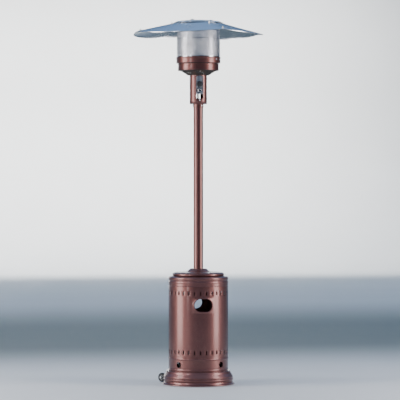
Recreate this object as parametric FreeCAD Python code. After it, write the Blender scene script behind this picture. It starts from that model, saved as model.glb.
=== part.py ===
import FreeCAD, Part
import math
import os

# Free-standing gas patio heater: a round pressed base, a lift-off gas cylinder housing, one tall post,
# and a burner head under a dished reflector of four lapped panels.
# Millimetres. +Z is up, the front (with the knob) faces -Y, and the origin is on the floor at the
# centre line.
# An angle round the centre line starts at the front and turns towards +X, so 90 is +X and 180 is the back.

# Sheets and fits
STEEL_SHEET = 1.2
ALUMINIUM_SHEET = 0.8
BODY_GAP = 0.3
FIXED_GAP = 0.2
RUNNING_GAP = 0.05

# Base
base_beyond_housing = 40.0
base_height = 87.0
trim_height = 4.0
trim_width = 4.0
ballast_thickness = 14.0
ballast_edge_gap = 6.0
pillar_radius = 14.0
base_top_hole = 36.0

# Support frame inside the housing
leg_angles = (90.0, 210.0, 330.0)
leg_width = 40.0
leg_thickness = 4.0
leg_bend = 8.0
leg_foot_length = 45.0
leg_wall_gap = 14.0
mount_plate_thickness = 4.0
mount_plate_depth = 30.0
mount_plate_margin = 3.0
hose_hole_radius = 25.0
bolt_from_leg = 20.0

# Cylinder housing
housing_radius = 186.0
housing_height = 592.0
housing_guide_gap = 1.6
slot_count = 32
slot_width = 8.0
slot_height = 25.0
lower_slots_above_base = 121.5
upper_slots_above_base = 488.5
vent_radius = 17.5
vent_rim = 3.0
vent_above_base = 45.0
vent_first_angle = 39.4
hand_hole_width = 112.0
hand_hole_height = 79.0
hand_hole_above_base = 415.0
hand_hole_rim = 8.0
rim_proud = 1.2

# Lid and neck of the housing
lid_inside_housing = 26.0
lid_height = 25.0
neck_foot_radius = 70.0
neck_top_radius = 52.0
neck_height = 18.0
bush_wall = 3.0
bush_height = 14.0
bush_post_gap = 0.5
bush_flange = 38.0

# Post
post_radius = 30.0
post_wall = 1.5
post_length = 1102.0
post_flange_radius = 62.0
post_flange_thickness = 5.0
post_bolt_circle = 46.0

# Burner head
control_radius = 54.0
control_height = 189.0
window_width = 45.6
window_height = 144.0
window_corner = 10.0
control_top_hole = 26.0
window_sill = 31.0
socket_length = 22.0
socket_wall = 2.2
socket_cup_height = 29.0
plate_front = 27.0
plate_width = 60.0
bonnet_radius = 11.0
igniter_neck_radius = 11.8
knob_radius = 18.5
knob_depth = 16.0
knob_below_top = 65.0
knob_press = 4.0
button_radius = 14.0
button_below_knob = 40.0
button_press = 5.0
bowl_foot_beyond_control = 11.0
bowl_inside_band = 16.0
bowl_overlap = 9.0
bowl_depth = 30.0
lower_band_height = 40.0
deck_thickness = 3.0
band_beyond_screen = 3.0
band_step = 10.0
upper_band_height = 38.0
band_lip = 1.8
burner_radius = 88.0
burner_height = 45.0
venturi_radius = 14.0
screen_radius = 135.0
screen_above_band = 177.0
screen_cap_lap = 9.0

# Reflector
reflector_radius = 405.0
reflector_inner_radius = 112.0
reflector_slope = 0.265
reflector_seam_angle = 12.5
seam_rise = 15.0
seam_lap = 22.0
rim_hem = 5.0
reflector_lift = 43.3
cap_radius = 157.0
cap_step_radius = 137.0
cap_flat_radius = 90.0
cap_rise = 15.0
stud_circle = 80.0
stud_angles = (-38.0, 82.0, 202.0)
stud_radius = 3.0
inner_seam_bolt = 178.0
outer_seam_bolt = 386.0

# Wheels
wheel_angle = -144.0
wheel_radius = 28.5
wheel_width = 20.0
wheel_floor_gap = 3.0
wheel_tuck = 9.5
wheel_spread = 75.0
hub_radius = 17.0
axle_radius = 4.0

# Gas line and regulator
hose_radius = 5.0
hose_offset = 14.0
regulator_radius = 28.0
regulator_thickness = 24.0
regulator_reach = 105.0
regulator_drop = 104.0
coupling_radius = 19.0
coupling_length = 26.0

# Fasteners
bolt_radius = 4.0
bolt_length = 20.0
bolt_flats = 13.0
bolt_head = 5.5
nut_height = 6.5
screw_radius = 2.4
screw_length = 8.0
screw_head_radius = 5.0
screw_head = 3.0
seam_bolt_radius = 3.0
seam_bolt_stick_up = 12.0
seam_nut_flats = 10.0
seam_nut_height = 5.0

# Radii that follow another piece
base_radius = housing_radius + base_beyond_housing
wheel_line = base_radius + wheel_radius - wheel_tuck
lid_seat_radius = housing_radius - lid_inside_housing
bowl_foot_radius = control_radius + bowl_foot_beyond_control
upper_band_radius = screen_radius + band_beyond_screen
lower_band_radius = upper_band_radius - band_step
bowl_rim_radius = lower_band_radius - bowl_inside_band

# Levels, each worked out from the piece below it
housing_bottom = base_height + BODY_GAP
housing_top = housing_bottom + housing_height
mount_plate_bottom = housing_top - mount_plate_depth - mount_plate_thickness
mount_plate_top = mount_plate_bottom + mount_plate_thickness
lid_top = housing_top + lid_height
post_bottom = mount_plate_top
post_top = post_bottom + post_length
control_bottom = post_top
control_top = control_bottom + control_height
knob_level = control_top - knob_below_top
button_level = knob_level - button_below_knob
bowl_bottom = control_top - bowl_overlap
lower_band_bottom = bowl_bottom + bowl_depth
deck_bottom = lower_band_bottom + lower_band_height
deck_top = deck_bottom + deck_thickness
upper_band_top = deck_top + upper_band_height
screen_bottom = deck_top + STEEL_SHEET
screen_top = upper_band_top + screen_above_band
screen_cap_top = screen_top + STEEL_SHEET
panel_inner_level = screen_cap_top + reflector_lift
leg_radius = housing_radius - leg_wall_gap
bolt_circle = leg_radius - bolt_from_leg
lap_step = ALUMINIUM_SHEET + BODY_GAP
half_lap_angle = math.degrees(seam_lap / 2 / reflector_radius)
flat_start_angle = 45.0 - half_lap_angle
rim_middle_level = (panel_inner_level - reflector_slope * (reflector_radius - reflector_inner_radius)
                    - seam_rise / 3)
valve_bottom = knob_level - 16.0
valve_top = knob_level + 17.0
hose_top = valve_bottom - 12.0
regulator_level = mount_plate_bottom - regulator_drop

model = {}


def vec(x, y, z):
    return FreeCAD.Vector(x, y, z)


UP = vec(0, 0, 1)
ORIGIN = vec(0, 0, 0)


def turned(shape, angle):
    """The shape turned about the centre line by an angle in degrees."""
    copy = shape.copy()
    copy.rotate(ORIGIN, UP, angle)
    return copy


def outward(angle):
    """Unit vector pointing out from the centre line at an angle from the front."""
    return vec(math.sin(math.radians(angle)), -math.cos(math.radians(angle)), 0)


def at(radius, angle, level):
    return outward(angle) * radius + vec(0, 0, level)


def placed(shape, position, direction=UP):
    """A shape built along +Z from the origin, moved to a position and pointed along a direction."""
    copy = shape.copy()
    copy.Placement = FreeCAD.Placement(position, FreeCAD.Rotation(UP, direction)).multiply(copy.Placement)
    return copy


def cylinder(radius, bottom, top, centre=ORIGIN):
    return Part.makeCylinder(radius, top - bottom, vec(centre.x, centre.y, bottom))


def tube(outer, inner, bottom, top, centre=ORIGIN):
    return cylinder(outer, bottom, top, centre).cut(cylinder(inner, bottom - 1, top + 1, centre))


def rod(radius, start, end):
    """A round bar between two points."""
    return Part.makeCylinder(radius, (end - start).Length, start, end - start)


def block(x, y, z):
    """A box from pairs of low and high values."""
    return Part.makeBox(x[1] - x[0], y[1] - y[0], z[1] - z[0], vec(x[0], y[0], z[0]))


def hexagon(flats, height):
    radius = flats / math.sqrt(3)
    points = [vec(radius * math.cos(math.radians(a)), radius * math.sin(math.radians(a)), 0)
              for a in range(0, 361, 60)]
    return Part.Face(Part.makePolygon(points)).extrude(vec(0, 0, height))


def bent_edges(points, bends):
    """Straight runs joined by tangent arcs; bends holds one radius for each inner point."""
    edges = []
    start = points[0]
    for before, here, after, bend in zip(points, points[1:], points[2:], bends):
        if not bend:
            edges.append(Part.LineSegment(start, here).toShape())
            start = here
            continue
        back = (before - here).normalize()
        ahead = (after - here).normalize()
        half = back.getAngle(ahead) / 2
        middle = here + (back + ahead).normalize() * (bend / math.sin(half) - bend)
        reach = bend / math.tan(half)
        edges.append(Part.LineSegment(start, here + back * reach).toShape())
        start = here + ahead * reach
        edges.append(Part.Arc(here + back * reach, middle, start).toShape())
    edges.append(Part.LineSegment(start, points[-1]).toShape())
    return edges


def sheet_section(corners, thickness):
    """Cross-section of bent sheet in the XZ plane.

    Each corner is (radius, level, bend radius) on the outer skin; the sheet lies to the left of the path.
    """
    flat = [vec(r, 0, z) for r, z, _ in corners]
    bends = [bend for _, _, bend in corners[1:-1]]
    runs = [(b - a).normalize() for a, b in zip(flat, flat[1:])]
    lefts = [vec(-run.z, 0, run.x) for run in runs]
    inner = [flat[0] + lefts[0] * thickness]
    inner_bends = []
    for i, bend in enumerate(bends):
        share = thickness / (1 + lefts[i].dot(lefts[i + 1]))
        inner.append(flat[i + 1] + (lefts[i] + lefts[i + 1]) * share)
        left_turn = lefts[i].dot(runs[i + 1]) > 0
        inner_bends.append(max(bend - thickness, 0) if left_turn else bend + thickness)
    inner.append(flat[-1] + lefts[-1] * thickness)
    outer_edges = bent_edges(flat, bends)
    inner_edges = bent_edges(inner, inner_bends)
    ends = [Part.LineSegment(flat[0], inner[0]).toShape(), Part.LineSegment(flat[-1], inner[-1]).toShape()]
    return Part.Face(Part.Wire(Part.__sortEdges__(outer_edges + inner_edges + ends)))


def sheet_ring(corners, thickness=STEEL_SHEET):
    """Sheet pressed or spun round the centre line."""
    return sheet_section(corners, thickness).revolve(ORIGIN, UP, 360)


def sheet_strip(corners, width, angle, thickness=STEEL_SHEET):
    """A bent strip that stands out from the centre line at an angle."""
    face = sheet_section(corners, thickness)
    face.translate(vec(0, -width / 2, 0))
    return turned(face.extrude(vec(0, width, 0)), angle - 90)


def bead(radius, level, half_height, proud, bend=2.0):
    """Corners of a rolled bead (or, with a negative height, a groove) in an upright wall."""
    return [(radius, level - half_height, bend), (radius + proud, level - half_height / 3, bend),
            (radius + proud, level + half_height / 3, bend), (radius, level + half_height, bend)]


def window(width, height, level, angle, corner, near, far):
    """A rounded upright window as a solid from radius near to radius far."""
    w, h = width / 2, height / 2
    outline = [vec(0, 0, -h), vec(w, 0, -h), vec(w, 0, h), vec(-w, 0, h), vec(-w, 0, -h), vec(0, 0, -h)]
    edges = [edge for edge in bent_edges(outline, [corner] * 4) if edge.Length > 1e-4]
    face = Part.Face(Part.Wire(edges))
    face.translate(vec(0, -near, level))
    return turned(face.extrude(vec(0, near - far, 0)), angle)


def long_hole(width, height, level, angle, near, far):
    """A window whose narrow ends are full half circles."""
    return window(width, height, level, angle, min(width, height) / 2 - 0.001, near, far)


def pan_screw(length=screw_length):
    """A domed screw whose head stands on the origin and whose shank runs down -Z."""
    head = Part.makeCylinder(screw_head_radius, screw_head)
    head = head.makeFillet(screw_head * 0.6, [head.Edges[0]])
    recess = block((-0.6, 0.6), (-3, 3), (screw_head - 1.2, screw_head + 1))
    cross = recess.fuse(turned(recess, 90))
    return head.cut(cross).fuse(Part.makeCylinder(screw_radius, length, vec(0, 0, -length)))


def hex_bolt():
    """A hexagon bolt whose head stands on the origin and whose shank runs down -Z."""
    head = hexagon(bolt_flats, bolt_head)
    return head.fuse(Part.makeCylinder(bolt_radius, bolt_length, vec(0, 0, -bolt_length)))


def hex_nut(flats, bore, height):
    return hexagon(flats, height).cut(Part.makeCylinder(bore, height + 2, vec(0, 0, -1)))


def group(shapes):
    return Part.makeCompound(list(shapes))


def bent_tube(points, bend, radius, bore=0.0):
    """A round tube along straight runs and tangent arcs."""
    path = Part.Wire(bent_edges(points, [bend] * (len(points) - 2)))
    start = points[0]
    heading = points[1] - points[0]
    solid = path.makePipeShell([Part.Wire(Part.makeCircle(radius, start, heading))], True, True)
    if bore:
        ring = Part.Wire(Part.makeCircle(bore, start, heading))
        solid = solid.cut(path.makePipeShell([ring], True, True))
    return solid


# ---------------------------------------------------------------- base

def bolt_holes(radius_circle, angles, bottom, top, radius):
    return group(cylinder(radius, bottom, top, at(radius_circle, a, 0)) for a in angles)


def make_base():
    guide = housing_radius - STEEL_SHEET - housing_guide_gap
    lip = base_radius - 1.0
    neck = base_radius - 13.0
    bulge = base_radius - 7.5
    shoulder = base_radius - 10.0
    top = base_height
    corners = [
        (lip, trim_height, 0), (lip, trim_height + 5.5, 3), (lip - 7.5, trim_height + 9, 3.5),
        (neck, top - 60, 7), (bulge, top - 56, 2.5), (bulge, top - 46, 3), (neck + 0.5, top - 42.5, 1.8),
        (shoulder, top - 39.5, 2), (shoulder, top - 34, 6), (base_radius - 22, top - 14, 15),
        (base_radius - 26, top, 4), (guide, top, 1), (guide, top + 8, 2.5), (guide - 7.2, top + 8, 2.5),
        (guide - 7.2, top, 1), (base_top_hole, top, 0),
    ]
    cover = sheet_ring(corners)
    holes = bolt_holes(bolt_circle, leg_angles, top - 20, top + 1, bolt_radius + FIXED_GAP)
    model["base_cover"] = cover.cut(holes)

    ballast = cylinder(neck - STEEL_SHEET - ballast_edge_gap, 0, ballast_thickness)
    for angle in leg_angles:
        ballast = ballast.fuse(cylinder(pillar_radius, 0, top - STEEL_SHEET, at(bolt_circle, angle, 0)))
    model["ballast_plate"] = ballast.cut(
        bolt_holes(bolt_circle, leg_angles, top - 30, top + 1, bolt_radius + FIXED_GAP))

    model["base_edge_trim"] = tube(base_radius, base_radius - trim_width, 0, trim_height)


def make_frame():
    bottom, top = base_height, mount_plate_bottom
    foot = leg_radius - leg_foot_length
    corners = [(foot, bottom, 0), (leg_radius, bottom, leg_bend), (leg_radius, top, leg_bend),
               (foot, top, 0)]
    names = ("support_leg_right", "support_leg_left_rear", "support_leg_left_front")
    for name, angle in zip(names, leg_angles):
        leg = sheet_strip(corners, leg_width, angle, leg_thickness)
        hole = cylinder(bolt_radius + FIXED_GAP, bottom - 1, top + 1, at(bolt_circle, angle, 0))
        model[name] = leg.cut(hole)

    post_bolts = [45.0 + 90.0 * k for k in range(4)]
    plate = cylinder(leg_radius - mount_plate_margin, mount_plate_bottom, mount_plate_top)
    plate = plate.cut(cylinder(hose_hole_radius, mount_plate_bottom - 1, mount_plate_top + 1))
    for circle, angles in ((bolt_circle, leg_angles), (post_bolt_circle, post_bolts)):
        plate = plate.cut(bolt_holes(circle, angles, mount_plate_bottom - 1, mount_plate_top + 1,
                                     bolt_radius + FIXED_GAP))
    model["post_mount_plate"] = plate

    flange_top = post_bottom + post_flange_thickness
    flange = tube(post_flange_radius, post_radius - post_wall, post_bottom, flange_top)
    post = tube(post_radius, post_radius - post_wall, post_bottom, post_top)
    model["post_tube"] = post.fuse(flange.cut(
        bolt_holes(post_bolt_circle, post_bolts, post_bottom - 1, flange_top + 1, bolt_radius + FIXED_GAP)))

    bolt = hex_bolt()
    seats = [at(bolt_circle, a, base_height + leg_thickness) for a in leg_angles]
    seats += [at(bolt_circle, a, mount_plate_top) for a in leg_angles]
    seats += [at(post_bolt_circle, a, flange_top) for a in post_bolts]
    model["frame_bolts"] = group(placed(bolt, seat) for seat in seats)

    nut = hex_nut(bolt_flats, bolt_radius + RUNNING_GAP, nut_height)
    seats = [at(bolt_circle, a, mount_plate_bottom - leg_thickness - nut_height) for a in leg_angles]
    seats += [at(post_bolt_circle, a, mount_plate_bottom - nut_height) for a in post_bolts]
    model["frame_nuts"] = group(placed(nut, seat) for seat in seats)


# ---------------------------------------------------------------- cylinder housing

def make_housing():
    r, bottom, top = housing_radius, housing_bottom, housing_top
    corners = [(r, bottom, 0)]
    corners += bead(r, bottom + 9, 4, 2)
    corners += bead(r, bottom + 22, 2.4, -0.9, 1.3)
    corners += bead(r, bottom + 78, 4.5, 2)
    corners += bead(r, top - 61, 2.4, -0.9, 1.3)
    corners += bead(r, top - 40, 5, 1.2)
    corners += bead(r, top - 27.5, 5, -2.8)
    corners += bead(r, top - 15.5, 4.5, 1.0)
    corners += [(r, top - 8.5, 3), (lid_seat_radius, top, 4), (lid_seat_radius - 14, top, 0)]
    shell = sheet_ring(corners)

    near, far = r - 12, r + 12
    skin = tube(r + rim_proud, r - STEEL_SHEET, bottom, top)
    for angle in (0, 180):
        level = base_height + hand_hole_above_base
        frame = long_hole(hand_hole_width + 2 * hand_hole_rim, hand_hole_height + 2 * hand_hole_rim,
                          level, angle, near, far)
        shell = shell.fuse(frame.common(skin))
        shell = shell.cut(long_hole(hand_hole_width, hand_hole_height, level, angle, near, far))
    vents = []
    for k in range(4):
        angle, level = vent_first_angle + 90 * k, base_height + vent_above_base
        rim = Part.makeCylinder(vent_radius + vent_rim, 24, at(near, angle, level), outward(angle))
        shell = shell.fuse(rim.common(skin))
        vents.append(Part.makeCylinder(vent_radius, 24, at(near, angle, level), outward(angle)))
    pitch = 360 / slot_count
    slots = [long_hole(slot_width, slot_height, base_height + above, pitch * (k + 0.5), near, far)
             for above in (lower_slots_above_base, upper_slots_above_base) for k in range(slot_count)]
    model["housing_body"] = shell.cut(group(vents + slots))

    hole = post_radius + bush_post_gap + bush_wall + FIXED_GAP
    lid = lid_top
    model["housing_lid"] = sheet_ring([
        (lid_seat_radius - 3, top, 0), (lid_seat_radius + 1.5, top + 5, 3),
        (lid_seat_radius + 1.5, lid - 12, 4), (lid_seat_radius - 10, lid - 4, 6),
        (neck_foot_radius + 12, lid, 40), (hole, lid, 0)])
    model["neck_collar"] = sheet_ring([
        (neck_foot_radius + 7, lid + STEEL_SHEET, 0), (neck_foot_radius, lid + STEEL_SHEET, 1.5),
        (neck_top_radius + 1.5, lid + neck_height - 2, 2), (neck_top_radius, lid + neck_height, 0)])

    bore = post_radius + bush_post_gap
    bush = tube(bore + bush_wall, bore, lid - 8, lid + bush_height)
    model["neck_bush"] = bush.fuse(tube(bush_flange, bore, lid, lid + 2.5))


# ---------------------------------------------------------------- control section

def along_back(radius, front, back, level):
    """A round bar along Y between two distances in front of the centre line."""
    return rod(radius, vec(0, -front, level), vec(0, -back, level))


def make_head_socket():
    cup = control_radius - STEEL_SHEET - BODY_GAP
    sleeve = post_radius + BODY_GAP + socket_wall
    model["head_socket"] = sheet_ring([
        (sleeve, control_bottom - socket_length, 0), (sleeve, control_bottom, 2.5),
        (cup, control_bottom, 3), (cup, control_bottom + socket_cup_height, 0)], socket_wall)


def make_control_housing():
    shell = sheet_ring([(control_radius, control_bottom, 0), (control_radius, control_top, 3),
                        (control_top_hole, control_top, 0)])
    level = control_bottom + window_sill + window_height / 2
    for angle in (0, 180):
        shell = shell.cut(window(window_width, window_height, level, angle, window_corner,
                                 control_radius - 24, control_radius + 9))
    tube_slot = block((-22, 14), (20, 36), (control_top - 5, control_top + 5))
    model["control_housing"] = shell.cut(tube_slot)

    bottom, top = button_level - 22, control_top - STEEL_SHEET
    plate = sheet_strip([(plate_front, bottom, 0), (plate_front, top, 3), (plate_front - 9, top, 0)],
                        plate_width, 0)
    holes = [along_back(radius + FIXED_GAP, plate_front + 5, plate_front - 5, level)
             for radius, level in ((bonnet_radius, knob_level), (igniter_neck_radius, button_level))]
    model["control_plate"] = plate.cut(holes[0]).cut(holes[1])


def make_valve():
    face = plate_front - STEEL_SHEET
    bonnet_end = plate_front + 9
    back = hose_offset + 10
    inlet = vec(0, hose_offset, 0)
    body = block((-17, 17), (-face, back), (valve_bottom, valve_top))
    body = body.makeFillet(3, [e for e in body.Edges if abs(e.BoundBox.XLength) < 1e-6])
    body = body.fuse(along_back(bonnet_radius, bonnet_end, face - 1, knob_level))
    body = body.fuse(cylinder(9, hose_top, valve_bottom + 2, inlet))
    body = body.fuse(cylinder(7, valve_top - 2, valve_top + 6))
    body = body.cut(cylinder(hose_radius + FIXED_GAP, hose_top - 1, hose_top + 8, inlet))
    sleeve_radius, stem_radius = 6.0, 4.0
    sleeve_bore = along_back(sleeve_radius + RUNNING_GAP, bonnet_end + 1, 12, knob_level)
    model["gas_valve_body"] = body.cut(sleeve_bore)

    knob_back = bonnet_end + knob_press + 4
    sleeve_end = 12 + knob_press + 2
    sleeve = along_back(sleeve_radius, bonnet_end + 3, sleeve_end, knob_level)
    stem_bore = along_back(stem_radius + RUNNING_GAP, bonnet_end + 4, sleeve_end - 1, knob_level)
    model["press_sleeve"] = sleeve.cut(stem_bore)
    stem = along_back(stem_radius, knob_back + 10, sleeve_end, knob_level)
    model["valve_stem"] = stem.fuse(along_back(6, knob_back, bonnet_end + 3 + RUNNING_GAP, knob_level))

    front = knob_back + knob_depth
    knob = along_back(knob_radius, knob_back + 5, knob_back, knob_level)
    knob = knob.fuse(along_back(knob_radius - 2.5, front - 4, knob_back + 4, knob_level))
    grip = block((-knob_radius * 0.28, knob_radius * 0.28), (-front, -knob_back - 6),
                 (knob_level - knob_radius + 1.5, knob_level + knob_radius - 1.5))
    grip = grip.makeFillet(2.5, [e for e in grip.Edges if abs(e.BoundBox.YLength) > 5])
    flutes = group(rod(2.0, vec(0, -knob_back - 6, knob_level) + placed_spoke(a), vec(0, -front, knob_level)
                       + placed_spoke(a)) for a in range(15, 360, 30))
    knob = knob.cut(flutes).fuse(grip)
    model["control_knob"] = knob.cut(along_back(stem_radius, knob_back + 10, knob_back - 1, knob_level))


def placed_spoke(angle):
    """Offset to the knob's rim at an angle in the knob's own plane."""
    reach = knob_radius - 1.8
    return vec(reach * math.cos(math.radians(angle)), 0, reach * math.sin(math.radians(angle)))


def make_igniter():
    stem, wall = 9.0, igniter_neck_radius
    nose = plate_front + 4
    body = along_back(wall, nose, 0, button_level)
    body = body.fuse(along_back(15.5, plate_front + 2.5, plate_front, button_level))
    body = body.fuse(rod(2.5, vec(-9, -1, button_level), vec(-9, 3, button_level)))
    inner = nose - 18 - button_press - 2
    model["igniter_body"] = body.cut(along_back(stem + RUNNING_GAP, nose + 1, inner, button_level))
    cap_back = nose + button_press + 1
    cap = along_back(button_radius, cap_back + 9, cap_back, button_level)
    cap = cap.makeFillet(3, [e for e in cap.Edges if e.BoundBox.YMax < -cap_back - 8.9])
    model["igniter_button"] = cap.fuse(along_back(stem, cap_back + 1, nose - 18, button_level))


def make_tilt_switch():
    low = button_level + 2
    case = block((30, 45), (-8, 8), (low, low + 24))
    case = case.makeFillet(2, case.Edges)
    tab = block((44, control_radius - STEEL_SHEET - 1.2), (-3, 3), (low + 10, low + 12))
    model["tilt_switch"] = case.fuse(tab)


def make_gas_train():
    orifice_bottom = valve_top + 6
    orifice = placed(hexagon(13, 9), vec(0, 0, orifice_bottom))
    orifice = orifice.fuse(cylinder(4, orifice_bottom + 9, orifice_bottom + 14))
    model["main_orifice"] = orifice.cut(cylinder(1.2, orifice_bottom - 1, orifice_bottom + 20))

    foot = orifice_bottom + 5
    venturi = sheet_ring([(8.2, foot, 0), (venturi_radius, foot, 3), (venturi_radius, deck_top, 0)], 1.5)
    ports = [long_hole(7, 14, foot + 16, a, 5, venturi_radius + 3) for a in (45, 135, 225, 315)]
    model["venturi"] = venturi.cut(group(ports))

    bottom, top = deck_top, deck_top + burner_height
    head = sheet_ring([(venturi_radius + BODY_GAP, bottom, 0), (burner_radius, bottom, 5),
                       (burner_radius, top - 16, 8), (burner_radius * 0.45, top, 30), (0, top, 0)], 1.5)
    ports = [rod(2.2, at(burner_radius - 8, a, bottom + 20), at(burner_radius + 8, a, bottom + 20))
             for a in range(0, 360, 12)]
    model["burner_head"] = head.cut(group(ports))


def make_pilot():
    flame = at(burner_radius + 14, 180, 0)
    base = deck_top
    hood = tube(6, 4.5, base + 10, base + 26, flame).fuse(tube(6, 2 + FIXED_GAP, base, base + 10.5, flame))
    model["pilot_burner"] = hood.cut(rod(2.5, flame + vec(0, 0, base + 18), flame + vec(0, -12, base + 18)))

    back = hose_offset + 10
    model["pilot_gas_tube"] = bent_tube([
        vec(-10, back, knob_level + 6), vec(-10, 32, knob_level + 6), vec(-10, 32, lower_band_bottom + 12),
        flame + vec(0, 0, lower_band_bottom + 12), flame + vec(0, 0, base + 10)], 6, 2.0)
    probe = at(burner_radius + 14, 170, 0)
    model["thermocouple"] = bent_tube([
        vec(10, back, knob_level), vec(10, 32, knob_level), vec(10, 32, lower_band_bottom + 20),
        probe + vec(0, 0, lower_band_bottom + 20), probe + vec(0, 0, base + 24)], 6, 1.6)
    spark = at(burner_radius + 14, 190, 0)
    model["ignition_lead"] = bent_tube([
        vec(-9, 3, button_level), vec(-9, 28, button_level), vec(-18, 28, knob_level - 8),
        vec(-18, 28, lower_band_bottom + 26), spark + vec(0, 0, lower_band_bottom + 26),
        spark + vec(0, 0, base + 20)], 7, 1.8)


# ---------------------------------------------------------------- burner shrouds

def make_shrouds():
    rise = bowl_depth
    bowl = sheet_ring([(control_radius + FIXED_GAP, bowl_bottom, 0), (bowl_foot_radius, bowl_bottom, 5),
                       (bowl_rim_radius, bowl_bottom + rise - STEEL_SHEET, 4),
                       (lower_band_radius - STEEL_SHEET - FIXED_GAP, bowl_bottom + rise - STEEL_SHEET, 0)])
    run = bowl_rim_radius - bowl_foot_radius
    normal_r, normal_z = rise / math.hypot(rise, run), -run / math.hypot(rise, run)
    holes = []
    for row, share in enumerate((0.36, 0.72)):
        for k in range(24):
            angle = 15 * (k + row / 2)
            centre = at(bowl_foot_radius + run * share, angle, bowl_bottom + rise * share)
            normal = outward(angle) * normal_r + vec(0, 0, normal_z)
            holes.append(rod(4.5, centre - normal * 5, centre + normal * 5))
    model["burner_bowl"] = bowl.cut(group(holes))

    model["lower_band"] = sheet_ring([
        (lower_band_radius, lower_band_bottom - STEEL_SHEET, 0), (lower_band_radius, deck_bottom, 3),
        (lower_band_radius - 16, deck_bottom, 0)])

    deck = tube(lower_band_radius - 5, venturi_radius + BODY_GAP, deck_bottom, deck_top)
    for angle in (170, 180, 190):
        deck = deck.cut(cylinder(2.6, deck_bottom - 1, deck_top + 1, at(burner_radius + 14, angle, 0)))
    model["burner_deck"] = deck

    r, lip = upper_band_radius, upper_band_radius + band_lip
    top = upper_band_top
    model["upper_band"] = sheet_ring([
        (lower_band_radius - 10, deck_top, 0), (r, deck_top, 3), (r, top - 9, 2.5), (lip, top - 6, 2),
        (lip, top, 2), (screen_radius + 1, top, 0)])


def make_screen():
    inner = screen_radius - ALUMINIUM_SHEET
    model["emitter_screen"] = tube(screen_radius, inner, screen_bottom, screen_top)
    skirt = screen_radius + BODY_GAP + STEEL_SHEET
    cap = sheet_ring([(skirt, screen_top - screen_cap_lap, 0), (skirt, screen_cap_top, STEEL_SHEET + 0.1),
                      (0, screen_cap_top, 0)])
    model["emitter_top_plate"] = cap.cut(
        bolt_holes(stud_circle, stud_angles, screen_top - 5, screen_cap_top + 5, stud_radius + FIXED_GAP))


def make_head_screws():
    screw = pan_screw()
    sleeve = post_radius + BODY_GAP + socket_wall
    seats = [(sleeve, a, control_bottom - socket_length / 2) for a in (30, 150, 270)]
    seats += [(control_radius, a, control_bottom + socket_cup_height - 6) for a in (0, 180)]
    seats += [(upper_band_radius, a, upper_band_top - 15) for a in (44, 63, 224, 243)]
    model["head_screws"] = group(placed(screw, at(r, a, z), outward(a)) for r, a, z in seats)
    shanks = group(rod(screw_radius + FIXED_GAP, at(r + 1, a, z), at(r - screw_length - 1, a, z))
                   for r, a, z in seats)
    for node in ("head_socket", "control_housing", "upper_band", "post_tube", "emitter_screen"):
        model[node] = model[node].cut(shanks)


# ---------------------------------------------------------------- reflector

def seam_height(angle):
    """How far the rim stands above its lowest point, at an angle from the middle of a panel."""
    share = 1 - math.cos(math.radians(min(abs(angle), flat_start_angle)))
    return seam_rise * share / (1 - math.cos(math.radians(flat_start_angle)))


def panel_point(radius, angle, lap):
    """A point on a panel's upper skin; lap runs from -1 at its lower edge to 1 at its upper edge."""
    share = (radius - reflector_inner_radius) / (reflector_radius - reflector_inner_radius)
    rim = rim_middle_level + seam_height(angle)
    level = panel_inner_level + (rim - panel_inner_level) * share + lap * lap_step / 2
    return at(radius, angle, level)


def panel_curve(radius, start, end, lap_start, lap_end, steps):
    """An edge across a panel at a constant radius."""
    points = []
    for i in range(steps + 1):
        share = i / steps
        lap = lap_start + (lap_end - lap_start) * share
        points.append(panel_point(radius, start + (end - start) * share, lap))
    curve = Part.BSplineCurve()
    curve.interpolate(points)
    return curve.toShape()


def panel_strip(inner, outer, start, end, lap_start, lap_end, thickness, steps):
    """A solid strip of panel, between two radii and two angles, that hangs below its upper skin."""
    low = panel_curve(inner, start, end, lap_start, lap_end, steps)
    high = panel_curve(outer, start, end, lap_start, lap_end, steps)
    return Part.makeRuledSurface(low, high).extrude(vec(0, 0, -thickness))


def seam_normal():
    """Outward and upward shares of the unit vector that stands square on a seam."""
    drop = panel_inner_level - rim_middle_level - seam_rise
    run = reflector_radius - reflector_inner_radius
    return drop / math.hypot(drop, run), run / math.hypot(drop, run)


def seam_bolt_seats():
    """Each seam bolt's point on the seam and its direction."""
    out, up = seam_normal()
    seats = []
    for k in range(4):
        angle = reflector_seam_angle + 90 * k
        for radius in (inner_seam_bolt, outer_seam_bolt):
            level = panel_point(radius, 45, 0).z
            seats.append((at(radius, angle, level), outward(angle) * out + vec(0, 0, up)))
    return seats


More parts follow.
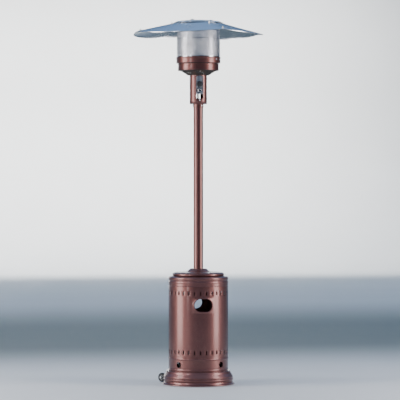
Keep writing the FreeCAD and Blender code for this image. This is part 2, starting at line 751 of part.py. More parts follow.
def make_reflector():
    end = 45 + half_lap_angle
    hem_inner = reflector_radius - 2 * ALUMINIUM_SHEET
    spans = ((-end, -flat_start_angle, -1, -1, 2), (-flat_start_angle, flat_start_angle, -1, 1, 12),
             (flat_start_angle, end, 1, 1, 2))
    pieces = []
    for start, stop, lap_start, lap_stop, steps in spans:
        pieces.append(panel_strip(reflector_inner_radius, reflector_radius, start, stop,
                                  lap_start, lap_stop, ALUMINIUM_SHEET, steps))
    hem = panel_strip(hem_inner, reflector_radius, -flat_start_angle + 0.5, flat_start_angle - 0.5, -1, 1,
                      rim_hem, 12)
    panel = pieces[0].fuse(pieces[1:] + [hem])
    seats = seam_bolt_seats()
    holes = group(rod(seam_bolt_radius + FIXED_GAP, seat - way * 9, seat + way * 9) for seat, way in seats)
    for k in range(4):
        middle = reflector_seam_angle + 45 + 90 * k
        model["reflector_panel_%d" % (k + 1)] = turned(panel, middle).cut(holes)

    out, up = seam_normal()
    below = (lap_step / 2 + ALUMINIUM_SHEET) * up + FIXED_GAP
    above = lap_step / 2 * up + FIXED_GAP / 2
    head = Part.makeCylinder(5.2, 3.2, vec(0, 0, -below - 3.2))
    head = head.makeFillet(1.4, [head.Edges[2]])
    length = below + above + seam_bolt_stick_up
    bolt = head.fuse(Part.makeCylinder(seam_bolt_radius, length, vec(0, 0, -below)))
    model["panel_bolts"] = group(placed(bolt, seat, way) for seat, way in seats)
    nut = hex_nut(seam_nut_flats, seam_bolt_radius + RUNNING_GAP, seam_nut_height)
    nut.translate(vec(0, 0, above))
    model["panel_nuts"] = group(placed(nut, seat, way) for seat, way in seats)


def make_reflector_centre():
    edge = panel_point(cap_radius, 45, 1).z + BODY_GAP + 2 * ALUMINIUM_SHEET
    top = edge + cap_rise
    step = edge + cap_rise * 0.62
    cap = sheet_ring([(cap_radius, edge, 0), (cap_step_radius, step, 4), (cap_flat_radius, top, 12),
                      (0, top, 0)], ALUMINIUM_SHEET)
    stud_hole = stud_radius + FIXED_GAP
    model["reflector_cap"] = cap.cut(bolt_holes(stud_circle, stud_angles, top - 5, top + 5, stud_hole))

    under = -ALUMINIUM_SHEET - BODY_GAP
    rim = cap_radius - 8
    flat = reflector_inner_radius - 6
    plate_top = panel_point(reflector_inner_radius, 0, -1).z + under - 1.0
    plate = sheet_ring([(rim, panel_point(rim, 0, -1).z + under, 0), (flat, plate_top, 6),
                        (0, plate_top, 0)])
    model["reflector_support_plate"] = plate.cut(
        bolt_holes(stud_circle, stud_angles, plate_top - 5, plate_top + 5, stud_hole))

    studs, spacers, wings = [], [], []
    for angle in stud_angles:
        centre = at(stud_circle, angle, 0)
        studs.append(cylinder(stud_radius, screen_top, top + 7.5, centre).fuse(
            cylinder(6, screen_top - 3.5, screen_top, centre)))
        spacers.append(tube(6, stud_hole, screen_cap_top, plate_top - STEEL_SHEET, centre))
        spacers.append(tube(6, stud_hole, plate_top, top - ALUMINIUM_SHEET, centre))
        wings.append(wing_nut(centre + vec(0, 0, top), angle + 35))
    model["reflector_studs"] = group(studs)
    model["reflector_spacers"] = group(spacers)
    model["wing_nuts"] = group(wings)


def wing_nut(seat, angle):
    hub = Part.makeCone(6.2, 4.8, 6)
    points = [vec(x, 0, z) for x, z in ((3, 1), (7, 1.5), (14, 6), (13.2, 7.4), (9, 7.2), (4, 4.5),
                                        (3, 1))]
    wing = Part.Face(Part.makePolygon(points)).extrude(vec(0, 2, 0))
    wing.translate(vec(0, -1, 0))
    bore = Part.makeCylinder(stud_radius + RUNNING_GAP, 12, vec(0, 0, -1))
    nut = hub.fuse([wing, turned(wing, 180)]).cut(bore)
    nut.rotate(ORIGIN, UP, angle)
    nut.translate(seat)
    return nut


# ---------------------------------------------------------------- wheels

def wheel_point(out, along, level):
    """A point near the wheels: distance out from the centre line, then along the axle."""
    return outward(wheel_angle) * out + outward(wheel_angle + 90) * along + vec(0, 0, level)


def make_wheels():
    level = wheel_radius + wheel_floor_gap
    arm = wheel_spread - wheel_width / 2 - 8
    low, high = level - 11, level + 13
    inner = base_radius - 7.5 + 1.0
    thick = 2.5
    strap = tube(inner + thick, inner, low, high)
    half_turn = math.degrees(math.asin(arm / inner))
    wedge = Part.makeCylinder(inner + 20, high - low, vec(0, 0, low), UP, 2 * half_turn)
    wedge.rotate(ORIGIN, UP, wheel_angle - 90 - half_turn)
    bracket = strap.common(wedge)
    arm_start = math.sqrt(inner ** 2 - arm ** 2) + thick
    for side in (-1, 1):
        plate = Part.makeBox(wheel_line + 11 - arm_start, thick, high - low,
                             vec(arm_start, -thick / 2, low))
        plate.translate(vec(0, side * (arm - thick / 2), 0))
        bracket = bracket.fuse(turned(plate, wheel_angle - 90))
    axle_end = wheel_spread + wheel_width / 2 + 6
    axle_line = [wheel_point(wheel_line, s * axle_end, level) for s in (-1, 1)]
    model["wheel_bracket"] = bracket.cut(rod(axle_radius + FIXED_GAP, axle_line[0], axle_line[1]))

    way = (axle_line[1] - axle_line[0]).normalize()
    axle = rod(axle_radius, axle_line[0], axle_line[1])
    for end, side in ((axle_line[0], 1), (axle_line[1], -1)):
        axle = axle.fuse(rod(6.5, end, end + way * 3 * side))
    model["wheel_axle"] = axle

    for name, side in (("left", -1), ("right", 1)):
        start = wheel_point(wheel_line, side * (wheel_spread - wheel_width / 2), level)
        direction = way * side
        bore = axle_radius + RUNNING_GAP
        hub = revolved_along([(bore, -2.5), (8, -2.5), (8, 1.5), (hub_radius - 3, 3), (hub_radius, 1),
                              (hub_radius, wheel_width - 1), (hub_radius - 3, wheel_width - 3),
                              (8, wheel_width - 1.5), (8, wheel_width + 2), (bore, wheel_width + 2)])
        model["wheel_hub_" + name] = placed(hub, start, direction)
        tyre = tube(wheel_radius, hub_radius, 0, wheel_width)
        rims = [e for e in tyre.Edges
                if e.Curve.TypeId == "Part::GeomCircle" and e.Curve.Radius > hub_radius + 1]
        model["tyre_" + name] = placed(tyre.makeFillet(4.5, rims), start, direction)


def revolved_along(profile):
    """A turned solid along +Z from (radius, level) corners."""
    points = [vec(r, 0, z) for r, z in profile]
    return Part.Face(Part.makePolygon(points + points[:1])).revolve(ORIGIN, UP, 360)


# ---------------------------------------------------------------- gas hose and regulator

def make_gas_line():
    below = mount_plate_bottom - 34
    reach = regulator_reach
    hose_end = regulator_level + regulator_radius + 12
    route = [vec(0, hose_offset, hose_top + 8), vec(0, hose_offset, below + 22), vec(reach, 0, below),
             vec(reach, 0, hose_end)]
    bends = [38.0, 20.0]
    path = Part.Wire(bent_edges(route, bends))
    profile = Part.Wire(Part.makeCircle(hose_radius, route[0], vec(0, 0, -1)))
    model["gas_hose"] = path.makePipeShell([profile], True, True)
    print("gas hose length %.0f mm, bend radii %s mm" % (path.Length, bends))

    half = regulator_thickness / 2
    body = rod(regulator_radius, vec(reach, -half, regulator_level), vec(reach, half, regulator_level))
    body = body.makeFillet(4, [e for e in body.Edges if e.Curve.TypeId == "Part::GeomCircle"])
    centre = vec(reach, 0, 0)
    body = body.fuse(cylinder(9, regulator_level + regulator_radius - 4, hose_end + 10, centre))
    body = body.cut(cylinder(hose_radius + FIXED_GAP, hose_end, hose_end + 11, centre))
    stub = regulator_level - regulator_radius
    body = body.fuse(cylinder(8, stub - coupling_length + 3, stub + 4, centre))
    body = body.fuse(cylinder(11, stub - coupling_length, stub - coupling_length + 3.5, centre))
    model["regulator_body"] = body

    low, high = stub - coupling_length + 5, stub - 1
    nut = cylinder(coupling_radius, low, high, centre)
    nut = nut.makeFillet(2, [e for e in nut.Edges if e.Curve.TypeId == "Part::GeomCircle"])
    grips = group(cylinder(1.8, low + 2, high - 2, centre + outward(a) * (coupling_radius + 0.6))
                  for a in range(0, 360, 30))
    model["regulator_nut"] = nut.cut(grips).cut(cylinder(8 + RUNNING_GAP, low - 1, high + 1, centre))

    inner = leg_radius - leg_thickness
    hook_low = regulator_level + regulator_radius + 3
    plate = block((inner - 2, inner), (-12, 12), (hook_low - 22, hook_low + 12))
    arm = block((reach - 14, inner), (-13, 13), (hook_low + 1, hook_low + 3))
    hook = plate.fuse(arm).cut(cylinder(9 + FIXED_GAP, hook_low - 1, hook_low + 5, centre))
    slot = block((reach - 20, reach), (-9 - FIXED_GAP, 9 + FIXED_GAP), (hook_low, hook_low + 5))
    model["regulator_hook"] = hook.cut(slot)


def main():
    make_base()
    make_frame()
    make_housing()
    make_head_socket()
    make_control_housing()
    make_valve()
    make_igniter()
    make_tilt_switch()
    make_gas_train()
    make_pilot()
    make_shrouds()
    make_screen()
    make_head_screws()
    make_reflector()
    make_reflector_centre()
    make_wheels()
    make_gas_line()
    os.makedirs("parts", exist_ok=True)
    for name, shape in model.items():
        facts = (name, len(shape.Solids), shape.isValid(), shape.Volume)
        print("%-26s solids %2d  valid %s  volume %.0f" % facts)
        shape.exportStep("parts/%s.step" % name)
    print(len(model), "nodes")


main()
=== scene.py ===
"""Looks of a free-standing gas patio heater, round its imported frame. Metres, +Z up, front is -Y."""
import logging
import math
from collections.abc import Callable, Sequence
from dataclasses import dataclass, field
from enum import Enum
from typing import Any

import bmesh
import bpy
from mathutils import Matrix, Vector


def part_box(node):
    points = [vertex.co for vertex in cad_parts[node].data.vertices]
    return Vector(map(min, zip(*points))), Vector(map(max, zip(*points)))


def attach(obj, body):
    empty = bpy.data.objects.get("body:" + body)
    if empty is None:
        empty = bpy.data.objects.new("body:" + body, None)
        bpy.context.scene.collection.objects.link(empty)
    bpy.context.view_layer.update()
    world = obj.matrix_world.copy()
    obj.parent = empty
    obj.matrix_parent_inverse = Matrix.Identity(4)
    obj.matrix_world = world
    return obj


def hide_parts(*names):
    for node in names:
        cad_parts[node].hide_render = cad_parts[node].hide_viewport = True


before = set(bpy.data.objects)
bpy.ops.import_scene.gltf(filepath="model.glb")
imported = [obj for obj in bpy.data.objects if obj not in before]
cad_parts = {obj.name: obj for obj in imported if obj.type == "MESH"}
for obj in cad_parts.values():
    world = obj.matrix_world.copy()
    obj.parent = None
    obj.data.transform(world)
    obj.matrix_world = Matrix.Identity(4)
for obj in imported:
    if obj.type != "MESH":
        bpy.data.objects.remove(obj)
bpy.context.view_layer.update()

LOG = logging.getLogger("patio_heater")
MM = 0.001
STEEL = 1.2 * MM
ALUMINIUM = 0.8 * MM
WALL_BEAD = 2 * MM
POST_RADIUS = 30 * MM
SLEEVE_RADIUS = 32.5 * MM
CONTROL_RADIUS = 54 * MM
SCREEN_RADIUS = 135 * MM
BAND_RADIUS = 138 * MM
# Vertices nearer than MERGE become one; WELD is the wider reach where repeated cells meet.
MERGE = 0.002 * MM
WELD = 0.02 * MM
# Edges that turn more than this many degrees stay crisp.
CRISP = 32.0

Point = tuple[float, float]
Corner = tuple[float, float, float]
Scale = tuple[float, float, float]
Colour = tuple[float, float, float, float]
Seat = tuple[Vector, Vector, float]
Cells = set[tuple[int, int]]
Piece = bpy.types.Object
Mesh = bmesh.types.BMesh

EVEN: Scale = (1.0, 1.0, 1.0)
UPRIGHT = Matrix.Identity(4)


# ---------------------------------------------------------------- shader tools

class Signal:
    """A socket that can be used in arithmetic, each operation adding one Math node."""

    def __init__(self, shop: "Shop", socket: bpy.types.NodeSocket) -> None:
        """Wrap an output socket of a node tree."""
        self.shop = shop
        self.socket = socket

    def _math(self, operation: str, first: Any, second: Any = 0.0) -> "Signal":
        """Add a Math node on two values or signals."""
        node = self.shop.add("ShaderNodeMath", {"operation": operation}, {0: first, 1: second})
        return Signal(self.shop, node.outputs[0])

    def __add__(self, other: Any) -> "Signal":
        """Sum."""
        return self._math("ADD", self, other)

    __radd__ = __add__

    def __sub__(self, other: Any) -> "Signal":
        """Difference."""
        return self._math("SUBTRACT", self, other)

    def __rsub__(self, other: Any) -> "Signal":
        """Difference with the number first."""
        return self._math("SUBTRACT", other, self)

    def __mul__(self, other: Any) -> "Signal":
        """Product."""
        return self._math("MULTIPLY", self, other)

    __rmul__ = __mul__

    def __truediv__(self, other: Any) -> "Signal":
        """Quotient."""
        return self._math("DIVIDE", self, other)

    def band(self, low: float, high: float) -> "Signal":
        """Smoothly ramp from 0 at low to 1 at high.

        Args:
            low: Where the ramp starts.
            high: Where it ends.

        Returns:
            The ramp.
        """
        node = self.shop.add("ShaderNodeMapRange", {"interpolation_type": "SMOOTHSTEP"},
                             {"Value": self, "From Min": low, "From Max": high})
        return Signal(self.shop, node.outputs[0])


class Shop:
    """Makes the nodes of one tree."""

    def __init__(self, tree: bpy.types.NodeTree) -> None:
        """Work on a node tree."""
        self.tree = tree

    def add(self, kind: str, settings: dict[str, Any] | None = None,
            inputs: dict[str | int, Any] | None = None) -> bpy.types.Node:
        """Add a node.

        Args:
            kind: The node's type.
            settings: Its properties, set first; "stops" holds a ramp's (place, colour) pairs.
            inputs: Values, sockets or signals for its input sockets, by name or number.

        Returns:
            The new node.
        """
        node = self.tree.nodes.new(kind)
        for key, value in (settings or {}).items():
            if key == "stops":
                elements = node.color_ramp.elements
                while len(elements) < len(value):
                    elements.new(0.5)
                for element, (place, colour) in zip(elements, value):
                    element.position = place
                    element.color = colour
            else:
                setattr(node, key, value)
        for key, value in (inputs or {}).items():
            target = node.inputs[key]
            if isinstance(value, Signal):
                value = value.socket
            if isinstance(value, bpy.types.NodeSocket):
                self.tree.links.new(value, target)
            else:
                target.default_value = value
        return node

    def out(self, kind: str, settings: dict[str, Any] | None = None,
            inputs: dict[str | int, Any] | None = None, output: str | int = 0) -> Signal:
        """Add a node and return one of its outputs as a signal."""
        return Signal(self, self.add(kind, settings, inputs).outputs[output])


class SurfaceShop(Shop):
    """Makes the nodes of a material, with the patterns that the finishes share."""

    def place(self, scale: Scale = EVEN) -> Signal:
        """Object coordinates, scaled along each axis."""
        raw = self.out("ShaderNodeTexCoord", output="Object")
        return self.out("ShaderNodeMapping", {"vector_type": "POINT"}, {"Vector": raw, "Scale": scale})

    def noise(self, size: float, detail: float = 3.0, stretch: Scale = EVEN) -> Signal:
        """Cloudy pattern.

        Args:
            size: Breadth of its features in metres.
            detail: How many finer layers it has.
            stretch: Factor on the coordinates along each axis.

        Returns:
            The pattern, from 0 to 1.
        """
        inputs = {"Vector": self.place(stretch), "Scale": 1.0 / size, "Detail": detail, "Roughness": 0.55}
        return self.out("ShaderNodeTexNoise", {"noise_dimensions": "3D"}, inputs)

    def cells(self, size: float) -> Signal:
        """Distance pattern of scattered cells about size metres across."""
        inputs = {"Vector": self.place(), "Scale": 1.0 / size}
        return self.out("ShaderNodeTexVoronoi", None, inputs, "Distance")

    def mix(self, factor: Any, first: Any, second: Any) -> Signal:
        """Blend two colours."""
        node = self.add("ShaderNodeMix", {"data_type": "RGBA"}, {0: factor, 6: first, 7: second})
        return Signal(self, node.outputs[2])

    def bump(self, height: Signal, strength: float, depth: float) -> Signal:
        """Turn a height pattern into a normal."""
        return self.out("ShaderNodeBump", None, {"Height": height, "Strength": strength, "Distance": depth})


def grey(value: float) -> Colour:
    """An even grey."""
    return (value, value, value, 1.0)


def rgb(red: float, green: float, blue: float) -> Colour:
    """An opaque colour."""
    return (red, green, blue, 1.0)


# ---------------------------------------------------------------- finishes

@dataclass(frozen=True)
class Finish:
    """A surface finish: a name, the record's slot, and how metallic it is."""

    name: str
    slot: str
    metallic: float = 0.0

    def build(self) -> bpy.types.Material:
        """Make the material.

        Returns:
            The material.
        """
        material = bpy.data.materials.new(self.name)
        material.use_nodes = True
        material.node_tree.nodes.clear()
        shop = SurfaceShop(material.node_tree)
        shader = shop.add("ShaderNodeBsdfPrincipled", None, {"Metallic": self.metallic})
        shop.add("ShaderNodeOutputMaterial", None, {"Surface": shader.outputs[0]})
        self.dress(shop, shader)
        return material

    def dress(self, shop: SurfaceShop, shader: bpy.types.Node) -> None:
        """Feed the shader's colour, roughness and normal.

        Args:
            shop: Makes the material's nodes.
            shader: The principled shader.
        """
        raise NotImplementedError

    def feed(self, shop: SurfaceShop, shader: bpy.types.Node, colour: Signal, roughness: Signal,
             normal: Signal) -> None:
        """Link the three usual patterns to the shader.

        Args:
            shop: Makes the material's nodes.
            shader: The principled shader.
            colour: The base colour.
            roughness: The roughness.
            normal: The normal.
        """
        for name, signal in (("Base Color", colour), ("Roughness", roughness), ("Normal", normal)):
            shop.tree.links.new(signal.socket, shader.inputs[name])


@dataclass(frozen=True)
class MetallicPaint(Finish):
    """Bronze paint: metal flake in a thin satin coat, lightly hammered."""

    base: Colour = (0.105, 0.038, 0.034, 1.0)
    flake: Colour = (0.225, 0.092, 0.08, 1.0)
    hammer: float = 0.16
    rough: float = 0.36

    def dress(self, shop: SurfaceShop, shader: bpy.types.Node) -> None:
        """Scatter fine flake over slow tone changes, and dust the surface.

        Args:
            shop: Makes the material's nodes.
            shader: The principled shader.
        """
        shader.inputs["Coat Roughness"].default_value = 0.16
        shader.inputs["Coat Weight"].default_value = 0.5
        flake = shop.cells(0.0016).band(0.15, 0.75)
        speck = shop.noise(0.0035, 2.0)
        cloud = shop.noise(0.16, 3.0)
        tone = flake * 0.45 + speck * 0.35 + cloud * 0.3 - 0.2
        colour = shop.mix(tone, self.base, self.flake)
        dust = shop.noise(0.045, 5.0).band(0.5, 0.85)
        colour = shop.mix(dust * 0.07, colour, rgb(0.3, 0.2, 0.17))
        roughness = self.rough + dust * 0.12 + speck * 0.1 - flake * 0.05
        height = shop.cells(0.0042) * 0.7 + speck * 0.5
        self.feed(shop, shader, colour, roughness, shop.bump(height, self.hammer, 0.0006))


@dataclass(frozen=True)
class PolishedSheet(Finish):
    """Spun or rolled aluminium sheet, polished, with faint rolling lines and soft waves."""

    tint: Colour = (0.76, 0.78, 0.81, 1.0)
    shade: Colour = (0.56, 0.59, 0.63, 1.0)
    rough: float = 0.19

    def dress(self, shop: SurfaceShop, shader: bpy.types.Node) -> None:
        """Add handling haze, rolling lines and a slow ripple.

        Args:
            shop: Makes the material's nodes.
            shader: The principled shader.
        """
        haze = shop.noise(0.09, 5.0).band(0.45, 0.8)
        lines = shop.noise(0.02, 3.0, (1.0, 30.0, 1.0))
        spots = shop.noise(0.006, 3.0).band(0.62, 0.72)
        colour = shop.mix(haze * 0.5 + lines * 0.25, self.tint, self.shade)
        roughness = self.rough + haze * 0.1 + lines * 0.07 + spots * 0.08
        height = shop.noise(0.14, 1.0) * 1.0 + lines * 0.05
        self.feed(shop, shader, colour, roughness, shop.bump(height, 0.2, 0.002))


@dataclass(frozen=True)
class BrushedSteel(Finish):
    """Stainless or zinc-plated steel with a grain that runs round or along."""

    tint: Colour = (0.62, 0.63, 0.65, 1.0)
    shade: Colour = (0.40, 0.41, 0.43, 1.0)
    rough: float = 0.28
    grain: Scale = (1.0, 1.0, 18.0)
    heat: float = 0.0
    bumps: float = 0.2

    def dress(self, shop: SurfaceShop, shader: bpy.types.Node) -> None:
        """Draw the grain and stain it with heat.

        Args:
            shop: Makes the material's nodes.
            shader: The principled shader.
        """
        grain = shop.noise(0.012, 4.0, self.grain)
        stain = shop.noise(0.07, 4.0).band(0.42, 0.8)
        colour = shop.mix(grain * 0.6 + stain * 0.3, self.tint, self.shade)
        colour = shop.mix(stain * self.heat, colour, rgb(0.36, 0.27, 0.2))
        roughness = self.rough + grain * 0.16 + stain * 0.1
        height = grain + shop.noise(0.0015) * 0.4
        self.feed(shop, shader, colour, roughness, shop.bump(height, self.bumps, 0.0004))


@dataclass(frozen=True)
class ScorchedSteel(Finish):
    """Dark heat-tinted sheet near the flame."""

    tint: Colour = (0.06, 0.052, 0.047, 1.0)
    rust: Colour = (0.16, 0.09, 0.055, 1.0)

    def dress(self, shop: SurfaceShop, shader: bpy.types.Node) -> None:
        """Blotch dull brown scale over dark metal.

        Args:
            shop: Makes the material's nodes.
            shader: The principled shader.
        """
        scale = shop.noise(0.025, 6.0).band(0.45, 0.75)
        grit = shop.noise(0.002, 2.0)
        colour = shop.mix(scale * 0.55, self.tint, self.rust)
        self.feed(shop, shader, colour, 0.42 + scale * 0.25 + grit * 0.1,
                  shop.bump(grit + scale * 0.5, 0.3, 0.0005))


@dataclass(frozen=True)
class Bright(Finish):
    """Chrome or machined brass: bright, with hairlines and faint smudges."""

    tint: Colour = (0.83, 0.84, 0.86, 1.0)
    shade: Colour = (0.7, 0.71, 0.73, 1.0)
    rough: float = 0.08

    def dress(self, shop: SurfaceShop, shader: bpy.types.Node) -> None:
        """Smudge a bright surface.

        Args:
            shop: Makes the material's nodes.
            shader: The principled shader.
        """
        smudge = shop.noise(0.012, 4.0).band(0.4, 0.8)
        hair = shop.noise(0.003, 2.0, (1.0, 8.0, 1.0))
        self.feed(shop, shader, shop.mix(smudge * 0.6, self.tint, self.shade),
                  self.rough + smudge * 0.12 + hair * 0.06, shop.bump(hair, 0.12, 0.0002))


@dataclass(frozen=True)
class Moulded(Finish):
    """Moulded plastic or rubber with a fine grain and worn, dusty high spots."""

    tint: Colour = (0.018, 0.018, 0.02, 1.0)
    worn: Colour = (0.07, 0.068, 0.065, 1.0)
    rough: float = 0.45
    grain: float = 0.0009

    def dress(self, shop: SurfaceShop, shader: bpy.types.Node) -> None:
        """Grain the surface and dust it.

        Args:
            shop: Makes the material's nodes.
            shader: The principled shader.
        """
        grain = shop.cells(self.grain)
        dust = shop.noise(0.02, 5.0).band(0.48, 0.8)
        colour = shop.mix(dust * 0.6, self.tint, self.worn)
        self.feed(shop, shader, colour, self.rough + dust * 0.2 + grain * 0.1,
                  shop.bump(grain + dust * 0.3, 0.25, 0.0003))


@dataclass(frozen=True)
class Cast(Finish):
    """Cast metal with an orange-peel skin."""

    tint: Colour = (0.45, 0.45, 0.46, 1.0)
    shade: Colour = (0.24, 0.24, 0.25, 1.0)
    rough: float = 0.42

    def dress(self, shop: SurfaceShop, shader: bpy.types.Node) -> None:
        """Pit and mottle the casting.

        Args:
            shop: Makes the material's nodes.
            shader: The principled shader.
        """
        pits = shop.cells(0.0022)
        mottle = shop.noise(0.015, 5.0)
        self.feed(shop, shader, shop.mix(mottle, self.tint, self.shade), self.rough + mottle * 0.2,
                  shop.bump(pits + mottle * 0.4, 0.45, 0.0006))


@dataclass(frozen=True)
class PaleFloor(Finish):
    """Pale studio floor, with a band of painted shade, darker grey, behind the heater."""

    def dress(self, shop: SurfaceShop, shader: bpy.types.Node) -> None:
        """Barely vary a pale matt surface, and paint a band of shade on it behind the heater.

        Args:
            shop: Makes the material's nodes.
            shader: The principled shader.
        """
        cloud = shop.noise(0.8, 3.0)
        spot = shop.out("ShaderNodeTexCoord", output="Object")
        split = shop.add("ShaderNodeSeparateXYZ", None, {0: spot})
        away = Signal(shop, split.outputs["Y"])
        # painted shade: the floor is darkened towards grey (0.2, 0.22, 0.2) from about 0.9 m to 9 m behind
        # the heater, standing in for dim light and a dark surround there
        shade = away.band(0.9, 3.2) * (1.0 - away.band(5.0, 9.0))
        pale = shop.mix(cloud, rgb(0.62, 0.62, 0.6), rgb(0.68, 0.68, 0.66))
        self.feed(shop, shader, shop.mix(shade, pale, rgb(0.2, 0.22, 0.2)), 0.7 + cloud * 0.1,
                  shop.bump(shop.noise(0.01), 0.05, 0.0005))


class Look(Enum):
    """The finishes that the heater's pieces choose from."""

    BRONZE = MetallicPaint("bronze_paint", "bronze_paint", 0.85)
    BRONZE_BAND = MetallicPaint("bronze_band_paint", "bronze_paint", 0.85, hammer=0.4, rough=0.33)
    SHEET = PolishedSheet("polished_sheet", "polished_aluminium", 1.0)
    SCREEN = BrushedSteel("emitter_stainless", "screen_steel", 1.0, tint=(0.62, 0.63, 0.67, 1.0),
                          shade=(0.34, 0.35, 0.38, 1.0), rough=0.08, bumps=0.05, heat=0.12)
    FASCIA = BrushedSteel("fascia_steel", "zinc_steel", 0.12, tint=(0.93, 0.93, 0.94, 1.0),
                          shade=(0.8, 0.81, 0.82, 1.0), rough=0.42, grain=(1.0, 1.0, 9.0))
    PLATE = BrushedSteel("heat_plate", "screen_steel", 1.0, rough=0.32, grain=(1.0, 14.0, 1.0), heat=0.4)
    ZINC = BrushedSteel("zinc_plate", "zinc_steel", 1.0, tint=(0.66, 0.66, 0.67, 1.0), rough=0.26,
                        grain=(1.0, 1.0, 3.0))
    SCORCHED = ScorchedSteel("scorched_steel", "burner_steel", 0.7)
    CHROME = Bright("bright_chrome", "chrome", 1.0)
    BRASS = Bright("machined_brass", "brass", 1.0, tint=(0.68, 0.48, 0.2, 1.0), shade=(0.5, 0.33, 0.13, 1.0),
                   rough=0.2)
    PLASTIC = Moulded("black_plastic", "black_plastic")
    RUBBER = Moulded("rubber", "rubber", tint=(0.015, 0.015, 0.015, 1.0), rough=0.65, grain=0.0016)
    HUB = Moulded("grey_hub_plastic", "hub_grey", tint=(0.13, 0.135, 0.14, 1.0), worn=(0.26, 0.25, 0.24, 1.0),
                  rough=0.3)
    POINTER = Moulded("pale_pointer", "hub_grey", tint=(0.6, 0.6, 0.58, 1.0), worn=(0.4, 0.4, 0.39, 1.0),
                      rough=0.4)
    TRIM = Moulded("edge_trim", "trim_grey", tint=(0.30, 0.29, 0.29, 1.0), worn=(0.42, 0.40, 0.38, 1.0),
                   rough=0.35)
    IRON = Cast("cast_iron", "cast_iron", 0.4, tint=(0.05, 0.05, 0.05, 1.0), shade=(0.09, 0.08, 0.075, 1.0),
                rough=0.6)
    CASTING = Cast("cast_aluminium", "aluminium_cast", 0.9)


MATERIALS: dict[Look, bpy.types.Material] = {}


def material(look: Look) -> bpy.types.Material:
    """The material of a finish, made once.

    Args:
        look: The finish.

    Returns:
        Its material.
    """
    if look not in MATERIALS:
        MATERIALS[look] = look.value.build()
    return MATERIALS[look]


# ---------------------------------------------------------------- outlines and meshes

def rounded(corners: Sequence[Corner], steps: int = 4) -> list[Point]:
    """Turn (radius, level, bend) corners into points, with an arc at each bend.

    Args:
        corners: The outline's corners; the first and last have no bend.
        steps: Straight pieces in each arc.

    Returns:
        The outline's points.
    """
    points = [corners[0][:2]]
    for before, corner, after in zip(corners, corners[1:], corners[2:]):
        here, bend = Vector(corner[:2]), corner[2]
        if bend <= 1e-6:
            points.append(corner[:2])
            continue
        back = (Vector(before[:2]) - here).normalized()
        ahead = (Vector(after[:2]) - here).normalized()
        half = back.angle(ahead) / 2
        centre = here + (back + ahead).normalized() * (bend / math.sin(half))
        start = here + back * (bend / math.tan(half)) - centre
        sweep = start.angle_signed(here + ahead * (bend / math.tan(half)) - centre)
        for i in range(steps + 1):
            turn = Matrix.Rotation(-sweep * i / steps, 2)
            points.append(tuple(centre + turn @ start))
    points.append(corners[-1][:2])
    return points


def sheet(corners: Sequence[Corner], thickness: float = STEEL, steps: int = 4) -> list[Point]:
    """Closed section of bent sheet; the sheet lies to the left of the path.

    Args:
        corners: Corners of the outer skin as (radius, level, bend).
        thickness: The sheet's thickness.
        steps: Straight pieces in each bend.

    Returns:
        The section's points, down one skin and back along the other.
    """
    flat = [Vector(c[:2]) for c in corners]
    runs = [(b - a).normalized() for a, b in zip(flat, flat[1:])]
    lefts = [Vector((-run.y, run.x)) for run in runs]
    inner = [(*(flat[0] + lefts[0] * thickness), 0.0)]
    for i, corner in enumerate(corners[1:-1]):
        share = thickness / (1 + lefts[i].dot(lefts[i + 1]))
        bend = corner[2] - thickness if lefts[i].dot(runs[i + 1]) > 0 else corner[2] + thickness
        offset = (lefts[i] + lefts[i + 1]) * share
        inner.append((*(flat[i + 1] + offset), max(bend, 0.0) if corner[2] else 0.0))
    inner.append((*(flat[-1] + lefts[-1] * thickness), 0.0))
    return rounded(corners, steps) + rounded(inner, steps)[::-1]


def bead(radius: float, level: float, half: float, proud: float, bend: float = 2 * MM) -> list[Corner]:
    """Corners of a rolled bead or groove.

    Args:
        radius: The wall's radius.
        level: The level of the bead's middle.
        half: Half its height.
        proud: How far it stands out; a groove's is negative.
        bend: The bend at each corner.

    Returns:
        The corners, from bottom to top.
    """
    return [(radius, level - half, bend), (radius + proud, level - half / 3, bend),
            (radius + proud, level + half / 3, bend), (radius, level + half, bend)]


def frame_matrix(position: Vector, direction: Vector) -> Matrix:
    """Move to a position with +Z turned along a direction."""
    return Matrix.Translation(position) @ direction.to_track_quat("Z", "Y").to_matrix().to_4x4()


def outward(angle: float) -> Vector:
    """Unit vector out from the centre line, at degrees from the front towards +X."""
    return Vector((math.sin(math.radians(angle)), -math.cos(math.radians(angle)), 0.0))


def seat(radius: float, angle: float, level: float) -> Vector:
    """A point at a radius, an angle from the front and a level."""
    return outward(angle) * radius + Vector((0, 0, level))


def smooth_piece(name: str, bm: Mesh, surface: bpy.types.Material) -> Piece:
    """Make a smooth-shaded object from a mesh under construction, which this frees.

    Args:
        name: The piece's name.
        bm: The mesh under construction.
        surface: Its material.

    Returns:
        The new object, at the origin.
    """
    mesh = bpy.data.meshes.new(name)
    bm.to_mesh(mesh)
    bm.free()
    mesh.polygons.foreach_set("use_smooth", [True] * len(mesh.polygons))
    mesh.materials.append(surface)
    piece = bpy.data.objects.new(name, mesh)
    bpy.context.scene.collection.objects.link(piece)
    return piece


def weave(bm: Mesh, grid: Sequence[Sequence[bmesh.types.BMVert]]) -> None:
    """Lay quads between the neighbouring rows of a grid of vertices.

    Args:
        bm: The mesh to add to.
        grid: The rows of vertices, each as long as the next.
    """
    for low, high in zip(grid, grid[1:]):
        for j in range(len(low) - 1):
            bm.faces.new((low[j], high[j], high[j + 1], low[j + 1]))


def finish_mesh(name: str, bm: Mesh, look: Look, sharp: float = CRISP, merge: float = MERGE) -> Piece:
    """Merge, clean and smooth a mesh and make it an object.

    Args:
        name: The piece's name.
        bm: The mesh under construction, which this frees.
        look: Its finish.
        sharp: Edges that turn more than this many degrees stay crisp.
        merge: Vertices nearer than this become one.

    Returns:
        The new object, at the origin.
    """
    bmesh.ops.remove_doubles(bm, verts=bm.verts, dist=merge)
    bmesh.ops.dissolve_degenerate(bm, edges=bm.edges, dist=merge)
    bmesh.ops.recalc_face_normals(bm, faces=bm.faces)
    piece = smooth_piece(name, bm, material(look))
    piece.data.set_sharp_from_angle(angle=math.radians(sharp))
    return piece


